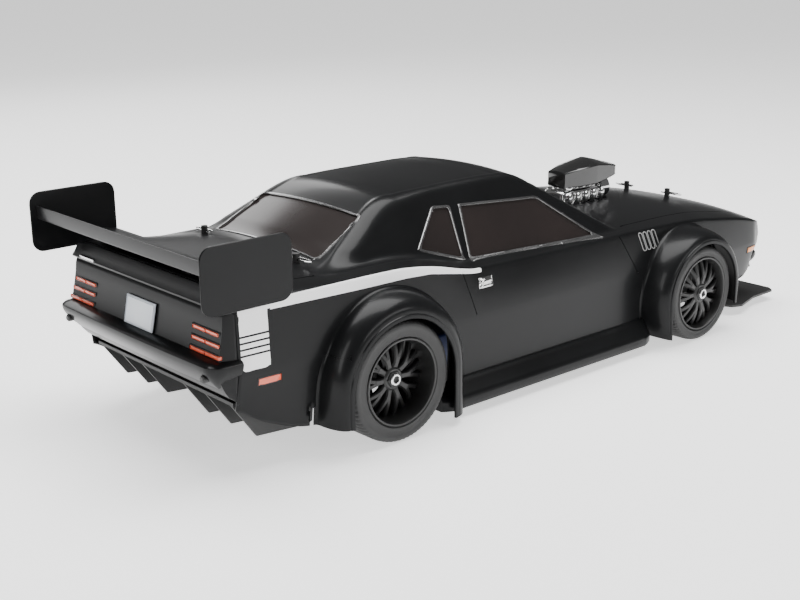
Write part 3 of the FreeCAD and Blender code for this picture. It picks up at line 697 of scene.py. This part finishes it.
TAIL_ROWS = [
    # height at the middle, x of the face
    (158.5, -360.0), (157.6, -361.3), (156, -362.0), (149, -363.0), (143.5, -364.6), (142.2, -364.2),
    (141.2, -360.6), (139.6, -360.4), (138.4, -361), (136.5, -361.6), (128, -362.4), (114, -365),
    (103, -367.6), (100, -368.6), (88, -368), (80, -364), (75, -361), (70, -357), (66, -352),
    (63, -342),
]
NOSE_ROWS = [
    (104.5, 360.0), (102, 360.6), (100, 362), (97, 364), (93, 366.4), (88, 368), (80, 369), (68, 369),
    (60, 367.4), (55, 363), (50, 357), (46, 351), (43, 344), (42, 332),
]


def face_points(rows, side_x, chamfer):
    """An end panel: it follows the deck's outline on top and turns into the sides at its corners."""
    across = np.concatenate([np.linspace(0, chamfer, 34), np.linspace(chamfer, 1, 6)[1:]])
    across = np.concatenate([-across[:0:-1], across])
    points = []
    for height, x in rows:
        level = min(height, SHOULDER_Z(side_x) - 2)
        half = side_y(side_x, level) - 0.15
        y = across * half
        turn = np.clip((np.abs(across) - chamfer) / (1 - chamfer), 0, 1)
        place_x = x + (side_x - x) * turn
        outline = deck(place_x, y) - 0.02
        z = np.minimum(height, outline)
        if height > SHOULDER_Z(side_x) - 2:
            z = np.where(z > outline - 0.05, outline - (rows[0][0] - height) * 0.2, z)
        points.append(np.stack([place_x, y, z], -1))
    return np.array(points)


def make_tail():
    shape = Shape().grid(face_points(TAIL_ROWS, TAIL_SIDE_X, 0.972))
    thicken(piece("tail_panel", shape, "shell_paint", sharp=28))


def make_nose():
    shape = Shape().grid(face_points(NOSE_ROWS, NOSE_SIDE_X, 0.95))
    thicken(piece("nose_panel", shape, "shell_paint", sharp=28))


def make_face():
    """Plain grille between two pairs of round lamps."""
    grille = Shape()
    for z in (66, 71.5, 77, 82.5):
        rounded_box(grille, (366, -56, z - 1), (370.4, 56, z + 1), 0.6)
    piece("grille_bars", grille, "black_nylon")
    rings, lenses = Shape(), Shape()
    for y in (-89, -69, 69, 89):
        rings.tube([
            circle((x, y, 74.5), radius, 32, "x")
            for x, radius in ((366, 8.6), (370.6, 8.6), (371, 8.2), (371, 7.4), (369.8, 7.2))
        ])
        lens = ((368, 7.2), (370, 7.2), (371.2, 4))
        lenses.tube([circle((x, y, 74.5), radius, 32, "x") for x, radius in lens])
    piece("lamp_rings", rings, "chrome_trim")
    piece("lamp_lenses", lenses, "plate_white")


def plan_path(half, x_face, corner, x_side, hand):
    """Plan of a bumper: along the side, round the corner and to the middle, hand is the end's sign."""
    points = [(x_side, half)]
    for angle in np.linspace(0, 90, 7):
        a = math.radians(angle)
        points.append((
            x_face - hand * corner * (1 - math.sin(a)),
            half - corner * (1 - math.cos(a)),
        ))
    inner = half - corner
    points += [(x_face + hand * 1.5 * (1 - (y / inner) ** 2), y) for y in np.linspace(inner, 0, 14)[1:]]
    return points + [(x, -y) for x, y in points[-2::-1]]


def sweep(path, profile, hand):
    """A closed profile of (outward, height) pairs along a plan path of (x, y) points."""
    path = np.array(path, float)
    along = np.gradient(path, axis=0)
    along /= np.linalg.norm(along, axis=1)[:, None]
    outward = np.stack([along[:, 1], -along[:, 0]], 1)
    if outward[len(path) // 2, 0] * hand < 0:
        outward = -outward
    rings = []
    for place_xy, away in zip(path, outward):
        rings.append([(*(place_xy + away * d), z) for d, z in profile])
    return rings


def make_bumpers():
    rear = [
        (-6, 104), (-3.4, 103.6), (1, 102.8), (6, 101.4), (7.8, 99.8), (8, 98), (7.2, 95), (4.6, 90.4),
        (0, 85), (-6, 79),
    ]
    shape = Shape().tube(sweep(plan_path(117, -371, 6, -350, -1), rear, -1))
    piece("rear_bumper", shape, "shell_paint", sharp=34)
    front = [(-5, 62), (0.6, 61.4), (2.4, 59.6), (2.8, 57), (1.6, 53), (-1, 49.6), (-5, 48)]
    shape = Shape().tube(sweep(plan_path(106, 366, 12, 352, 1), front, 1))
    piece("front_bumper", shape, "shell_paint", sharp=34)


# ---------------- flares and skirts


def flare_path(axle_x, axle_z, arch):
    """Places along an arch as (base x, base z, direction x, direction z), front leg to rear leg."""
    path = []
    for z in np.linspace(arch["front_z"], axle_z, 9)[:-1]:
        path.append((axle_x, z, 1.0, 0.0))
    for angle in np.linspace(0, 180, 61):
        a = math.radians(angle)
        path.append((axle_x, axle_z, math.cos(a), math.sin(a)))
    for z in np.linspace(axle_z, arch["back_z"], 9)[1:]:
        path.append((axle_x, z, -1.0, 0.0))
    return path


def flare_outline(root, arch, body_y):
    """Profile of a flare as (radius, y), from the body side out to the lip."""
    lip, opening, lip_y = arch["lip"], arch["opening"], arch["lip_y"]
    points = [(root + 3.2, body_y - 0.8), (root + 1.4, body_y + 0.1), (root + 0.4, body_y + 1.4)]
    for angle in np.linspace(4, 86, 13):
        a = math.radians(angle)
        points.append((
            lip + (root - lip) * math.cos(a),
            body_y + 1.5 + (lip_y - 1.2 - body_y - 1.5) * math.sin(a),
        ))
    points += [(lip - 0.3, lip_y - 1.2), (lip - 0.8, lip_y - 0.2), (lip - 1.4, lip_y)]
    points += [(opening + 0.4, lip_y), (opening, lip_y - 0.5)]
    return points


def flare_points(corner, arch):
    axle_x, axle_z, _, _ = WHEELS[corner]
    rows = []
    for base_x, base_z, dx, dz in flare_path(axle_x, axle_z, arch):
        root = arch["root"] - (arch["root"] - arch["leg_root"]) * (dx * dx if dx < 0 else 0)
        root_x, root_z = base_x + dx * root, base_z + dz * root
        body_y = float(side_y(np.float64(root_x), np.float64(max(root_z, 30))))
        outline = np.array(flare_outline(root, arch, body_y))
        if arch is FRONT_ARCH and base_z < axle_z:
            reach = max(math.sqrt(root**2 - (axle_z - base_z) ** 2), arch["opening"] + 4)
            outline[:, 0] = arch["opening"] + (outline[:, 0] - arch["opening"]) * (
                (reach - arch["opening"]) / (root - arch["opening"])
            )
        inner = outline[::-1] - np.array([WALL * 0.8, WALL])
        inner[:2, 0] = arch["opening"]
        loop = np.concatenate([outline, inner])
        rows.append([(base_x + dx * r, y, base_z + dz * r) for r, y in loop])
    return rows


def flare_seam(c):
    """Level joint across the rear half of each rear flare."""
    axle_x = WHEELS["rear_left"][0]
    return np.where((c[:, 0] < axle_x - 20) & (np.abs(c[:, 1]) < 147), c[:, 2] - 88, 50.0)


def make_flares():
    for end, arch in ARCHES.items():
        shape = Shape().tube(flare_points(end + "_left", arch)).mirror()
        made = new_object(end + "_flares", shape, ["shell_paint"], 40)
        if arch is REAR_ARCH:
            cutter = Cutter(made)
            cutter.band(flare_seam, GAP_HALF)
            cutter.merge(0.05)
            cutter.press(cutter.inside(lambda c: np.abs(flare_seam(c)) - GAP_HALF), 0.05, 0.5)
            cutter.finish(40)
        place(made, "shell", "shell_paint", "body_shell")


def make_skirts():
    """Side skirts between the arches: a ledge that falls to a crisp ridge and a low edge."""
    profile = [
        (121, 31), (124.5, 30), (127.5, 27), (136, 20.8), (138.6, 18.6), (139.4, 17), (139.4, 10),
        (138.6, 8.6), (137, 8), (121, 8),
    ]
    rings = []
    for x in [-149, -146, *np.linspace(-140, 126, 20), 132, 137, 141]:
        ease = min(1.0, (x + 151) / 9, (144 - x) / 16)
        rings.append([(x, 121 + (y - 121) * (0.55 + 0.45 * ease), z) for y, z in profile])
    shape = Shape().tube(rings).mirror()
    piece("side_skirts", shape, "shell_paint", sharp=30)


# ---------------- trim


def rounded_outline(low, high, radius, steps=7):
    """Rounded rectangle in two axes, counter-clockwise from its right side."""
    (u0, v0), (u1, v1) = low, high
    corners = ((u1, v1, -1, -1), (u0, v1, 1, -1), (u0, v0, 1, 1), (u1, v0, -1, 1))
    points = []
    for quadrant, (cu, cv, su, sv) in enumerate(corners):
        for a in np.linspace(0, math.pi / 2, steps) + quadrant * math.pi / 2:
            points.append((cu + radius * (su + math.cos(a)), cv + radius * (sv + math.sin(a))))
    return points


def rounded_box(shape, low, high, radius):
    """A box with all edges rounded, as rings of a rounded rectangle along x."""
    (x0, *low), (x1, *high) = low, high
    turn = np.linspace(0, math.pi / 2, 4)
    start = [(radius * (1 - math.sin(a)), radius * (1 - math.cos(a))) for a in turn]
    levels = [(x0 + step, inset) for step, inset in start]
    levels += [(x, 0.0) for x in np.linspace(x0 + radius, x1 - radius, 6)[1:-1]]
    levels += [(x1 - step, inset) for step, inset in start[::-1]]
    rings = []
    for x, inset in levels:
        inner_low, inner_high = [v + inset for v in low], [v - inset for v in high]
        outline = rounded_outline(inner_low, inner_high, radius - inset, 4)
        rings.append([(x, y, z) for y, z in outline])
    return shape.tube(rings)


def tail_lean(z):
    """x of the tail's lamp panel at a height."""
    heights, xs = zip(*reversed(TAIL_ROWS))
    return np.interp(z, heights, xs)


def on_side(shape):
    """Moves points whose y counts from the body side on to the side itself."""
    points = np.array(shape.points)
    points[:, 1] += side_y(points[:, 0], points[:, 2])
    shape.points = [tuple(p) for p in points]
    return shape.mirror()


LAMP_STRIPS = ((122.6, 112), (114.2, 115), (105.8, 118))  # height, outer end
MARKERS = (
    # name, slot, rear end, front end, height
    ("rear_markers", "lamp_red", -334, -313.5, 79.6),
    ("front_markers", "lamp_amber", 333, 350.5, 67.6),
)


def make_lamps():
    """Three thin strips a side in the tail and the side markers, each in a dark bezel."""
    lamps, bezels = Shape(), Shape()
    for z, outer in LAMP_STRIPS:
        x = float(tail_lean(z))
        for hand in (-1, 1):
            low, high = sorted((hand * 77.5, hand * outer))
            middle = (low + high) / 2
            rounded_box(lamps, (x - 1.4, low, z - 1.5), (x + 2, middle - 0.3, z + 1.5), 0.5)
            rounded_box(lamps, (x - 1.4, middle + 0.3, z - 1.5), (x + 2, high, z + 1.5), 0.5)
            low, high = sorted((hand * 75.5, hand * 114))
            rounded_box(bezels, (x - 0.7, low, z - 2.4), (x + 2, high, z + 2.4), 0.6)
    piece("tail_lamps", lamps, "lamp_red")
    piece("tail_lamp_bezels", bezels, "black_nylon")
    for name, slot_name, x0, x1, z in MARKERS:
        shape, rim = Shape(), Shape()
        rounded_box(shape, (x0, -2, z - 2.8), (x1, 1.0, z + 2.8), 0.6)
        rounded_box(rim, (x0 - 1, -2, z - 3.7), (x1 + 1, 0.5, z + 3.7), 0.6)
        piece(name, on_side(shape), slot_name)
        piece(name + "_bezels", on_side(rim), "black_nylon")


def make_plate():
    """Blank plate with a raised rim and two screws."""
    z0, z1 = 104.0, 127.6
    lean = float(tail_lean(z0) - tail_lean(z1)) / (z1 - z0)
    base = float(tail_lean(z0))
    shape = Shape()
    rounded_box(shape, (base - 2.2, -22.4, z0), (base - 0.6, 22.4, z1), 0.5)
    rounded_box(shape, (base - 2.5, -21, z0 + 1.4), (base - 1.8, 21, z1 - 1.4), 0.3)
    shape.points = [(x - lean * (z - z0), y, z) for x, y, z in shape.points]
    piece("number_plate", shape, "plate_white")
    bar = Shape()
    rounded_box(bar, (-365.8, 77, 143.4), (-362, 100, 146.4), 0.5)
    piece("tail_badge_bar", bar, "chrome_trim")
    screws = Shape()
    for y in (-108, 108):
        heads = [(x, radius) for x, radius in ((-372, 3.2), (-377.2, 3.2), (-378.2, 2.2))]
        screws.tube([circle((x, y, 89), radius, 16, "x") for x, radius in heads])
    piece("bumper_screws", screws, "black_nylon", sharp=30)


def make_side_trim():
    """Door handles and the vent graphic behind the front wheels."""
    handle = Shape()
    rounded_box(handle, (-94, -1, 108.2), (-76, 0.6, 117.6), 0.5)
    rounded_box(handle, (-92.6, 0.2, 112.6), (-77.4, 2.6, 116.8), 0.9)
    rounded_box(handle, (-92.6, 0.2, 109), (-77.4, 1.4, 111), 0.3)
    piece("door_handles", on_side(handle), "chrome_trim")
    vents = Shape()
    for index in range(4):
        foot_x = 139.5 + index * 6.9
        loop = rounded_outline((-2.6, -9.4), (2.6, 9.4), 2.55, 6)
        loop.append(loop[0])
        path = [(foot_x + u - 0.35 * v, 0.1, 111.2 + v) for u, v in loop]
        vents.tube(bar_points(path, 0.45, 6))
    made = new_object("fender_vents", on_side(vents), ["decal_grey"])
    place(made, "shell", "alloy_dark", "body_shell")


# ---------------- wing and blower


STRUT_Y = (-55, 55)
PLATE_LOW, PLATE_HIGH, PLATE_CORNER = (-391.6, 145.8), (-308.4, 199.6), 10.5


def make_wing():
    """Cambered blade with a raised rear lip between two rounded end plates, on two struts."""
    upper = [
        (-385.6, 187.4), (-384.4, 187.4), (-383.6, 186.4), (-383.2, 179.2), (-382, 177.2),
        (-372, 172.6), (-350, 164.8), (-330, 159.2), (-316, 156.4), (-310, 155.8), (-308.8, 155),
    ]
    lower = [
        (-310, 154), (-316, 154.5), (-330, 157.2), (-350, 162.6), (-372, 170.2), (-384.6, 175.6),
        (-385.4, 177),
    ]
    section = upper + lower
    rings = [[(x, y, z) for x, z in section] for y in np.linspace(-134.2, 134.2, 25)]
    shape = Shape().tube(rings)
    for y in (-135.4, 133.8):
        levels = [(y, 0.5), (y + 0.5, 0), (y + 1.1, 0), (y + 1.6, 0.5)]
        plate_rings = []
        for level, inset in levels:
            low, high = [v + inset for v in PLATE_LOW], [v - inset for v in PLATE_HIGH]
            outline = rounded_outline(low, high, PLATE_CORNER - inset)
            plate_rings.append([(x, level, z) for x, z in outline])
        shape.tube(plate_rings)
    for y in STRUT_Y:
        strut = [(-353, 147), (-353, 163), (-341, 160), (-339, 147)]
        shape.tube([[(x, y + side, z) for x, z in strut] for side in (-2, 2)])
    piece("wing", shape, "shell_paint", node="rear_wing", sharp=30)
    screws = Shape()
    for y in STRUT_Y:
        screws.tube([circle((-347, y, z), radius, 12) for z, radius in ((163.2, 3.4), (164.8, 2.6))])
    piece("wing_screws", screws, "steel", node="rear_wing")


def circle(centre, radius, count, axis="z", start=0.0):
    """Points of a circle around a centre, across the named axis."""
    cx, cy, cz = centre
    points = []
    for index in range(count):
        a = start + index * 2 * math.pi / count
        u, v = radius * math.cos(a), radius * math.sin(a)
        if axis == "z":
            points.append((cx + u, cy + v, cz))
        elif axis == "y":
            points.append((cx + u, cy, cz + v))
        else:
            points.append((cx, cy + u, cz + v))
    return points


def bar_points(path, radius, sides=10):
    """Rings of a round bar along a path of points, without twisting."""
    path = [Vector(p) for p in path]
    rings = []
    normal = None
    for index, place_at in enumerate(path):
        before = path[max(index - 1, 0)]
        after = path[min(index + 1, len(path) - 1)]
        along = (after - before).normalized()
        if normal is None:
            guide = Vector((0, 0, 1)) if abs(along.z) < 0.9 else Vector((1, 0, 0))
            normal = along.cross(guide).normalized()
        normal = (normal - along * normal.dot(along)).normalized()
        other = along.cross(normal)
        size = radius[index] if isinstance(radius, (list, tuple)) else radius
        ring = []
        for k in range(sides):
            a = k * 2 * math.pi / sides
            ring.append(place_at + (normal * math.cos(a) + other * math.sin(a)) * size)
        rings.append(ring)
    return rings


def scoop_ring(x, half, low, side, ridge, wall):
    """Cross section of the scoop: upright sides under a shallow ridged top."""
    half, low, side, ridge = half - wall, low + wall, side - wall * 0.7, ridge - wall
    quarter = [
        (half - 1.2, low), (half, low + 1.2), (half, side - 0.8), (half - 1, side + 0.3), (3.4, ridge),
    ]
    outline = quarter + [(-y, z) for y, z in quarter[::-1]]
    return [(x, y, z) for y, z in outline]


def make_blower():
    """Chrome supercharger case with ribs, pulley and stacks under a black scoop."""
    case = Shape()
    rounded_box(case, (136, -13.5, 122), (203, 13.5, 146), 3)
    rounded_box(case, (146, -10, 144), (200, 10, 151.5), 1.5)
    case.tube([
        circle((202, 0, 141), 9.5, 28, "x"), circle((204, 0, 141), 11.5, 28, "x"),
        circle((216, 0, 141), 11.5, 28, "x"), circle((218, 0, 141), 9.5, 28, "x"),
    ])
    for index in range(5):
        x = 140.5 + index * 12.8
        for hand in (-1, 1):
            path = []
            for a in np.linspace(-0.5, 1.9, 12):
                path.append((x, hand * (11.5 + 7.6 * math.cos(a)), 139.4 - 7 * math.sin(a) - 1.5 * a))
            case.tube(bar_points(path, 4.1, 16))
    piece("blower_case", case, "chrome_trim", node="blower", sharp=34)
    scoop = Shape()
    stations = [
        # x, half width, bottom, top of the side wall, ridge
        (140.6, 11, 150.5, 163.5, 165), (141.4, 12.2, 149.2, 165, 166.6), (160, 16.6, 149, 168, 171.4),
        (183, 20, 149.6, 170.2, 176.4), (186, 20, 149.9, 170.2, 176.2), (204, 20, 153, 168.2, 171.4),
        (214, 20, 155.4, 166.4, 168),
    ]
    rings = [scoop_ring(*station, 0.0) for station in stations]
    inside = [scoop_ring(*station, 1.6) for station in stations[:-4:-1]]
    scoop.tube(rings + inside)
    made = new_object("scoop", scoop, ["scoop_gloss"], 30)
    place(made, "shell", "shell_paint", "blower")
    edge = Shape()
    path = scoop_ring(214.4, 19.3, 156.2, 165.8, 167.3, 0.0)
    path.append(path[0])
    edge.tube(bar_points(path, 1.1, 8))
    for y in (-9.5, 9.5):
        edge.tube([circle((200, y, 155), 6.2, 20), circle((200, y, 158.5), 6.2, 20)])
    piece("scoop_trim", edge, "chrome_trim", node="blower")


# ---------------- wheels


def revolve(shape, profile, count):
    """Turns (y, radius) points about the wheel's axis; the profile is a closed loop."""
    rings = []
    for index in range(count):
        a = index * 2 * math.pi / count
        rings.append([(r * math.cos(a), y, r * math.sin(a)) for y, r in profile])
    return shape.tube(rings, closed_path=True)


def tyre_shape(radius, near, far, bead):
    """Low-profile tyre with rounded shoulders, two ring grooves and fine cross sipes."""
    width = far - near
    middle = (near + far) / 2
    profile = []
    for angle in np.linspace(-90, 90, 13):
        a = math.radians(angle)
        profile.append((far - 4.6 + 4.4 * math.cos(a), radius - 5.4 + 4.8 * math.sin(a)))
    profile = [(far - 1.5, bead), (far - 0.5, bead + 1.2)] + profile[4:-1]
    tread = []
    for offset in np.linspace(width / 2 - 7, -(width / 2 - 7), 15):
        crown = radius - 0.25 * (offset / (width / 2)) ** 2
        tread.append((middle + offset, crown))
    other = [(near + far - y, r) for y, r in profile[::-1]]
    inner = [(near + 2.5, bead - 0.5), (far - 2.5, bead - 0.5)]
    loop = profile + tread + other + inner
    first, last = len(profile), len(profile) + len(tread)
    count = 216
    rings = []
    for index in range(count):
        a = index * 2 * math.pi / count
        cut = 0.9 if index % 3 == 0 else 0.0
        ring = []
        for k, (y, r) in enumerate(loop):
            on_tread = first - 3 <= k < last + 3
            ring_groove = 0.8 if k in (first + 4, last - 5) else 0.0
            r -= max(cut if on_tread and not first + 5 <= k < last - 5 else 0.0, ring_groove)
            ring.append((r * math.cos(a), y, r * math.sin(a)))
        rings.append(ring)
    return Shape().tube(rings, closed_path=True)


def spoke_bar(shape, path, widths, depths):
    """A flat bar through (radius, angle, y) points with its widths around and depths along y."""
    rings = []
    for (r, angle, y), width, depth in zip(path, widths, depths):
        a = math.radians(angle)
        out = np.array([math.cos(a), 0, math.sin(a)])
        across = np.array([-math.sin(a), 0, math.cos(a)])
        centre = out * r
        ring = []
        half = width / 2
        for side, level in (
            (-1, -1), (-1, -0.25), (-0.62, 0), (0.62, 0), (1, -0.25), (1, -1),
        ):
            ring.append(centre + across * half * side + np.array([0, y + level * depth, 0]))
        rings.append(ring)
    shape.tube(rings)


def rim_shape(near, far, hub_y):
    """Deep rim with ten forked spokes that curve out from a thick hub."""
    shape = Shape()
    barrel = [
        (far - 0.6, 38.6), (far + 0.2, 38.0), (far, 36.6), (far - 1.8, 35.8), (hub_y - 3.5, 35.2),
        (hub_y - 9, 34.0), (near + 3, 34.6), (near + 0.6, 36.6), (near + 0.8, 38.0), (near + 3, 37.6),
        (near + 4, 36.8), (far - 4, 37.0), (far - 2.6, 38.2),
    ]
    revolve(shape, barrel, 120)
    hub = [
        (hub_y + 0.8, 4.2), (hub_y + 0.8, 8.6), (hub_y - 0.4, 10.2), (hub_y - 3, 11.2),
        (hub_y - 9, 11.2), (hub_y - 9, 4.2),
    ]
    revolve(shape, hub, 60)
    for index in range(10):
        base = index * 36
        spoke_bar(
            shape, [(9, base, hub_y - 0.6), (14, base, hub_y + 0.2), (19, base, hub_y + 0.2)],
            (6.4, 5.4, 6.6), (7, 5.5, 5),
        )
        for turn in (-1, 1):
            path = [(17, base + turn * 2.2, hub_y + 0.2)]
            for t in np.linspace(0.25, 1, 4):
                angle = base + turn * (2.2 + 7.6 * t**0.75)
                path.append((17 + 18.4 * t, angle, hub_y + 0.2 - 5.6 * t**1.6))
            spoke_bar(shape, path, (4.6, 4.4, 4.3, 4.5, 5.4), (5, 4.6, 4.4, 4.6, 5))
    return shape


def nut_shapes(hub_y, nut_y):
    """Black serrated flange, and the bright hexagon nut with its bore."""
    flange = Shape()
    rings = []
    for y, size in ((hub_y - 0.5, 7.6), (nut_y - 2.6, 7.6), (nut_y - 2.0, 6.9)):
        rings.append([(x, y, z) for x, _, z in circle((0, 0, 0), size, 6, "y")])
    flange.tube(rings)
    nut = Shape()
    ring = [(-3, 3.2), (-0.5, 3.2), (0, 3.5), (0, 4.7), (-0.6, 5.3), (-3, 5.3)]
    revolve(nut, [(nut_y + y, r) for y, r in ring], 36)
    axle = [(-6, 0.6), (-2.6, 0.6), (-2.6, 2.4), (-3.2, 3.2), (-6, 3.2)]
    inner = Shape()
    revolve(inner, [(nut_y + y, r) for y, r in axle], 24)
    return flange, nut, inner


def make_wheels():
    for corner, (axle_x, axle_z, radius, (near, far)) in WHEELS.items():
        left = corner.endswith("left")
        nut_y = ARCHES[corner.split("_")[0]]["nut_y"]
        hub_y = nut_y - 4.0
        flange, nut, axle = nut_shapes(hub_y, nut_y)
        pieces = (
            ("tyre", tyre_shape(radius, near, far, 38.8), "tyre_rubber", "tyre"),
            ("rim", rim_shape(near, far - 0.4, hub_y), "rim_black", "rim"),
            ("nut_flange", flange, "black_nylon", "rim"),
            ("nut", nut, "hub_metal", "rim"),
            ("axle_end", axle, "black_nylon", "rim"),
        )
        for part, shape, slot_name, node in pieces:
            hand = 1 if left else -1
            shape.points = [(axle_x + x, hand * y, axle_z + z) for x, y, z in shape.points]
            name = f"{corner}_{part}_skin"
            piece(name, shape, slot_name, body=corner + "_wheel", node=f"{corner}_{node}", sharp=30)


# ---------------- springs

SHOCK_HIGH, SHOCK_LOW = (42.0, 103.0), (66.0, 37.0)


def make_springs():
    """Coil springs between the shocks' collars and cups."""
    for corner in CORNERS:
        low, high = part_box(corner + "_spring")
        x = (low.x + high.x) / 2 / MM
        hand = 1 if corner.endswith("left") else -1
        top = Vector((x, hand * SHOCK_HIGH[0], SHOCK_HIGH[1]))
        foot = Vector((x, hand * SHOCK_LOW[0], SHOCK_LOW[1]))
        along = (foot - top).normalized()
        across = Vector((1, 0, 0))
        other = along.cross(across)
        start, end = 15.2, 54.8
        turns = 6.5
        path = []
        for t in np.linspace(0, 1, 130):
            a = t * turns * 2 * math.pi
            centre = top + along * (start + (end - start) * t)
            path.append(centre + (across * math.cos(a) + other * math.sin(a)) * 7.6)
        made = new_object(corner + "_coil", Shape().tube(bar_points(path, 0.9, 8)), ["spring_red"], 60)
        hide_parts(corner + "_spring")
        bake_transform(made)


# ---------------- CAD nodes that stay

NODE_FINISHES = {
    "chassis_plate": "alloy_dark", "front_splitter": "black_nylon", "rear_diffuser": "black_nylon",
    "front_gearbox": "black_nylon", "rear_gearbox": "black_nylon", "motor": "motor_can",
    "steering_servo": "case_plastic", "speed_controller": "case_plastic", "battery": "battery_wrap",
    "body_posts": "black_nylon", "centre_shaft": "steel", "motor_pinion": "steel",
    "steering_arm": "alloy_dark",
}
CORNER_FINISHES = {
    "drive_shaft": "alloy_dark", "lower_arm": "black_nylon", "upper_arm": "black_nylon",
    "shock_body": "alloy_shock", "shock_shaft": "steel", "clip": "chrome_trim",
    "caster_block": "black_nylon",
    "knuckle": "black_nylon", "carrier": "black_nylon", "track_rod": "alloy_dark",
}


def finish_nodes():
    """Gives every CAD node that stays its material."""
    finishes = dict(NODE_FINISHES)
    for corner in CORNERS:
        for part, slot_name in CORNER_FINISHES.items():
            finishes[corner + "_" + part] = slot_name
    for name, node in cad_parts.items():
        if name in finishes:
            node.data.materials.clear()
            node.data.materials.append(MATERIALS[finishes[name]])


# ---------------- studio


FLOOR_HALF = 60.0  # metres


def make_stage():
    """Plain white floor that glows a little, as a lit studio table does."""
    mesh = bpy.data.meshes.new("floor")
    corners = [(FLOOR_HALF * x, FLOOR_HALF * y, 0) for x, y in ((-1, -1), (1, -1), (1, 1), (-1, 1))]
    mesh.from_pydata(corners, [], [(0, 1, 2, 3)])
    floor = bpy.data.objects.new("floor", mesh)
    bpy.context.scene.collection.objects.link(floor)
    white = material("floor_white", grey(0.88), grey(0.9), 0.85, glow=1.0, patch=0.6, bump=0.0)
    mesh.materials.append(white)
    world = bpy.data.worlds.new("studio")
    world.use_nodes = True
    world.node_tree.nodes["Background"].inputs["Color"].default_value = (1, 1, 1, 1)
    world.node_tree.nodes["Background"].inputs["Strength"].default_value = 0.12
    bpy.context.scene.world = world


def soft_light(name, place_at, target, size, power):
    """A soft rectangular lamp that points at a target."""
    data = bpy.data.lights.new(name, "AREA")
    data.shape = "RECTANGLE"
    data.size, data.size_y = size
    data.energy = power
    lamp = bpy.data.objects.new(name, data)
    lamp.location = place_at
    lamp.rotation_euler = (Vector(target) - Vector(place_at)).to_track_quat("-Z", "Y").to_euler()
    bpy.context.scene.collection.objects.link(lamp)


def make_lights():
    soft_light("top_light", (0.1, 0.1, 1.9), (0, 0, 0.1), (2.4, 1.2), 80)
    soft_light("rear_light", (-1.8, -0.2, 0.9), (-0.1, 0, 0.1), (0.4, 1.2), 9)
    soft_light("side_light", (0.6, -2.0, 0.9), (0, 0, 0.1), (1.8, 0.4), 14)
    soft_light("far_light", (0.2, 2.0, 1.2), (0, 0, 0.12), (1.8, 0.5), 16)


CAMERA_PLACE = (-0.87518, -0.90691, 0.42771)
CAMERA_AZIMUTH, CAMERA_ELEVATION, CAMERA_ROLL = -41.203, 16.575, -0.511
LENS_MM = 58.09


def make_camera():
    """Camera behind the right rear corner, a little above the roof."""
    azimuth, elevation = math.radians(CAMERA_AZIMUTH), math.radians(CAMERA_ELEVATION)
    level = math.cos(elevation)
    back = Vector((math.sin(azimuth) * level, -math.cos(azimuth) * level, math.sin(elevation)))
    right = (-back).cross(Vector((0, 0, 1))).normalized()
    up = right.cross(-back)
    c, s = math.cos(math.radians(CAMERA_ROLL)), math.sin(math.radians(CAMERA_ROLL))
    right, up = right * c + up * s, up * c - right * s
    data = bpy.data.cameras.new("camera")
    data.lens = LENS_MM
    data.sensor_width = 36.0
    camera = bpy.data.objects.new("camera", data)
    turn = Matrix((right, up, back)).transposed().to_4x4()
    camera.matrix_world = Matrix.Translation(CAMERA_PLACE) @ turn
    bpy.context.scene.collection.objects.link(camera)
    bpy.context.scene.camera = camera


# ---------------- everything

make_camera()
make_materials()
finish_nodes()
make_body()
make_tail()
make_nose()
make_face()
make_bumpers()
make_flares()
make_skirts()
make_lamps()
make_plate()
make_side_trim()
make_wing()
make_blower()
make_wheels()
make_springs()
make_stage()
make_lights()
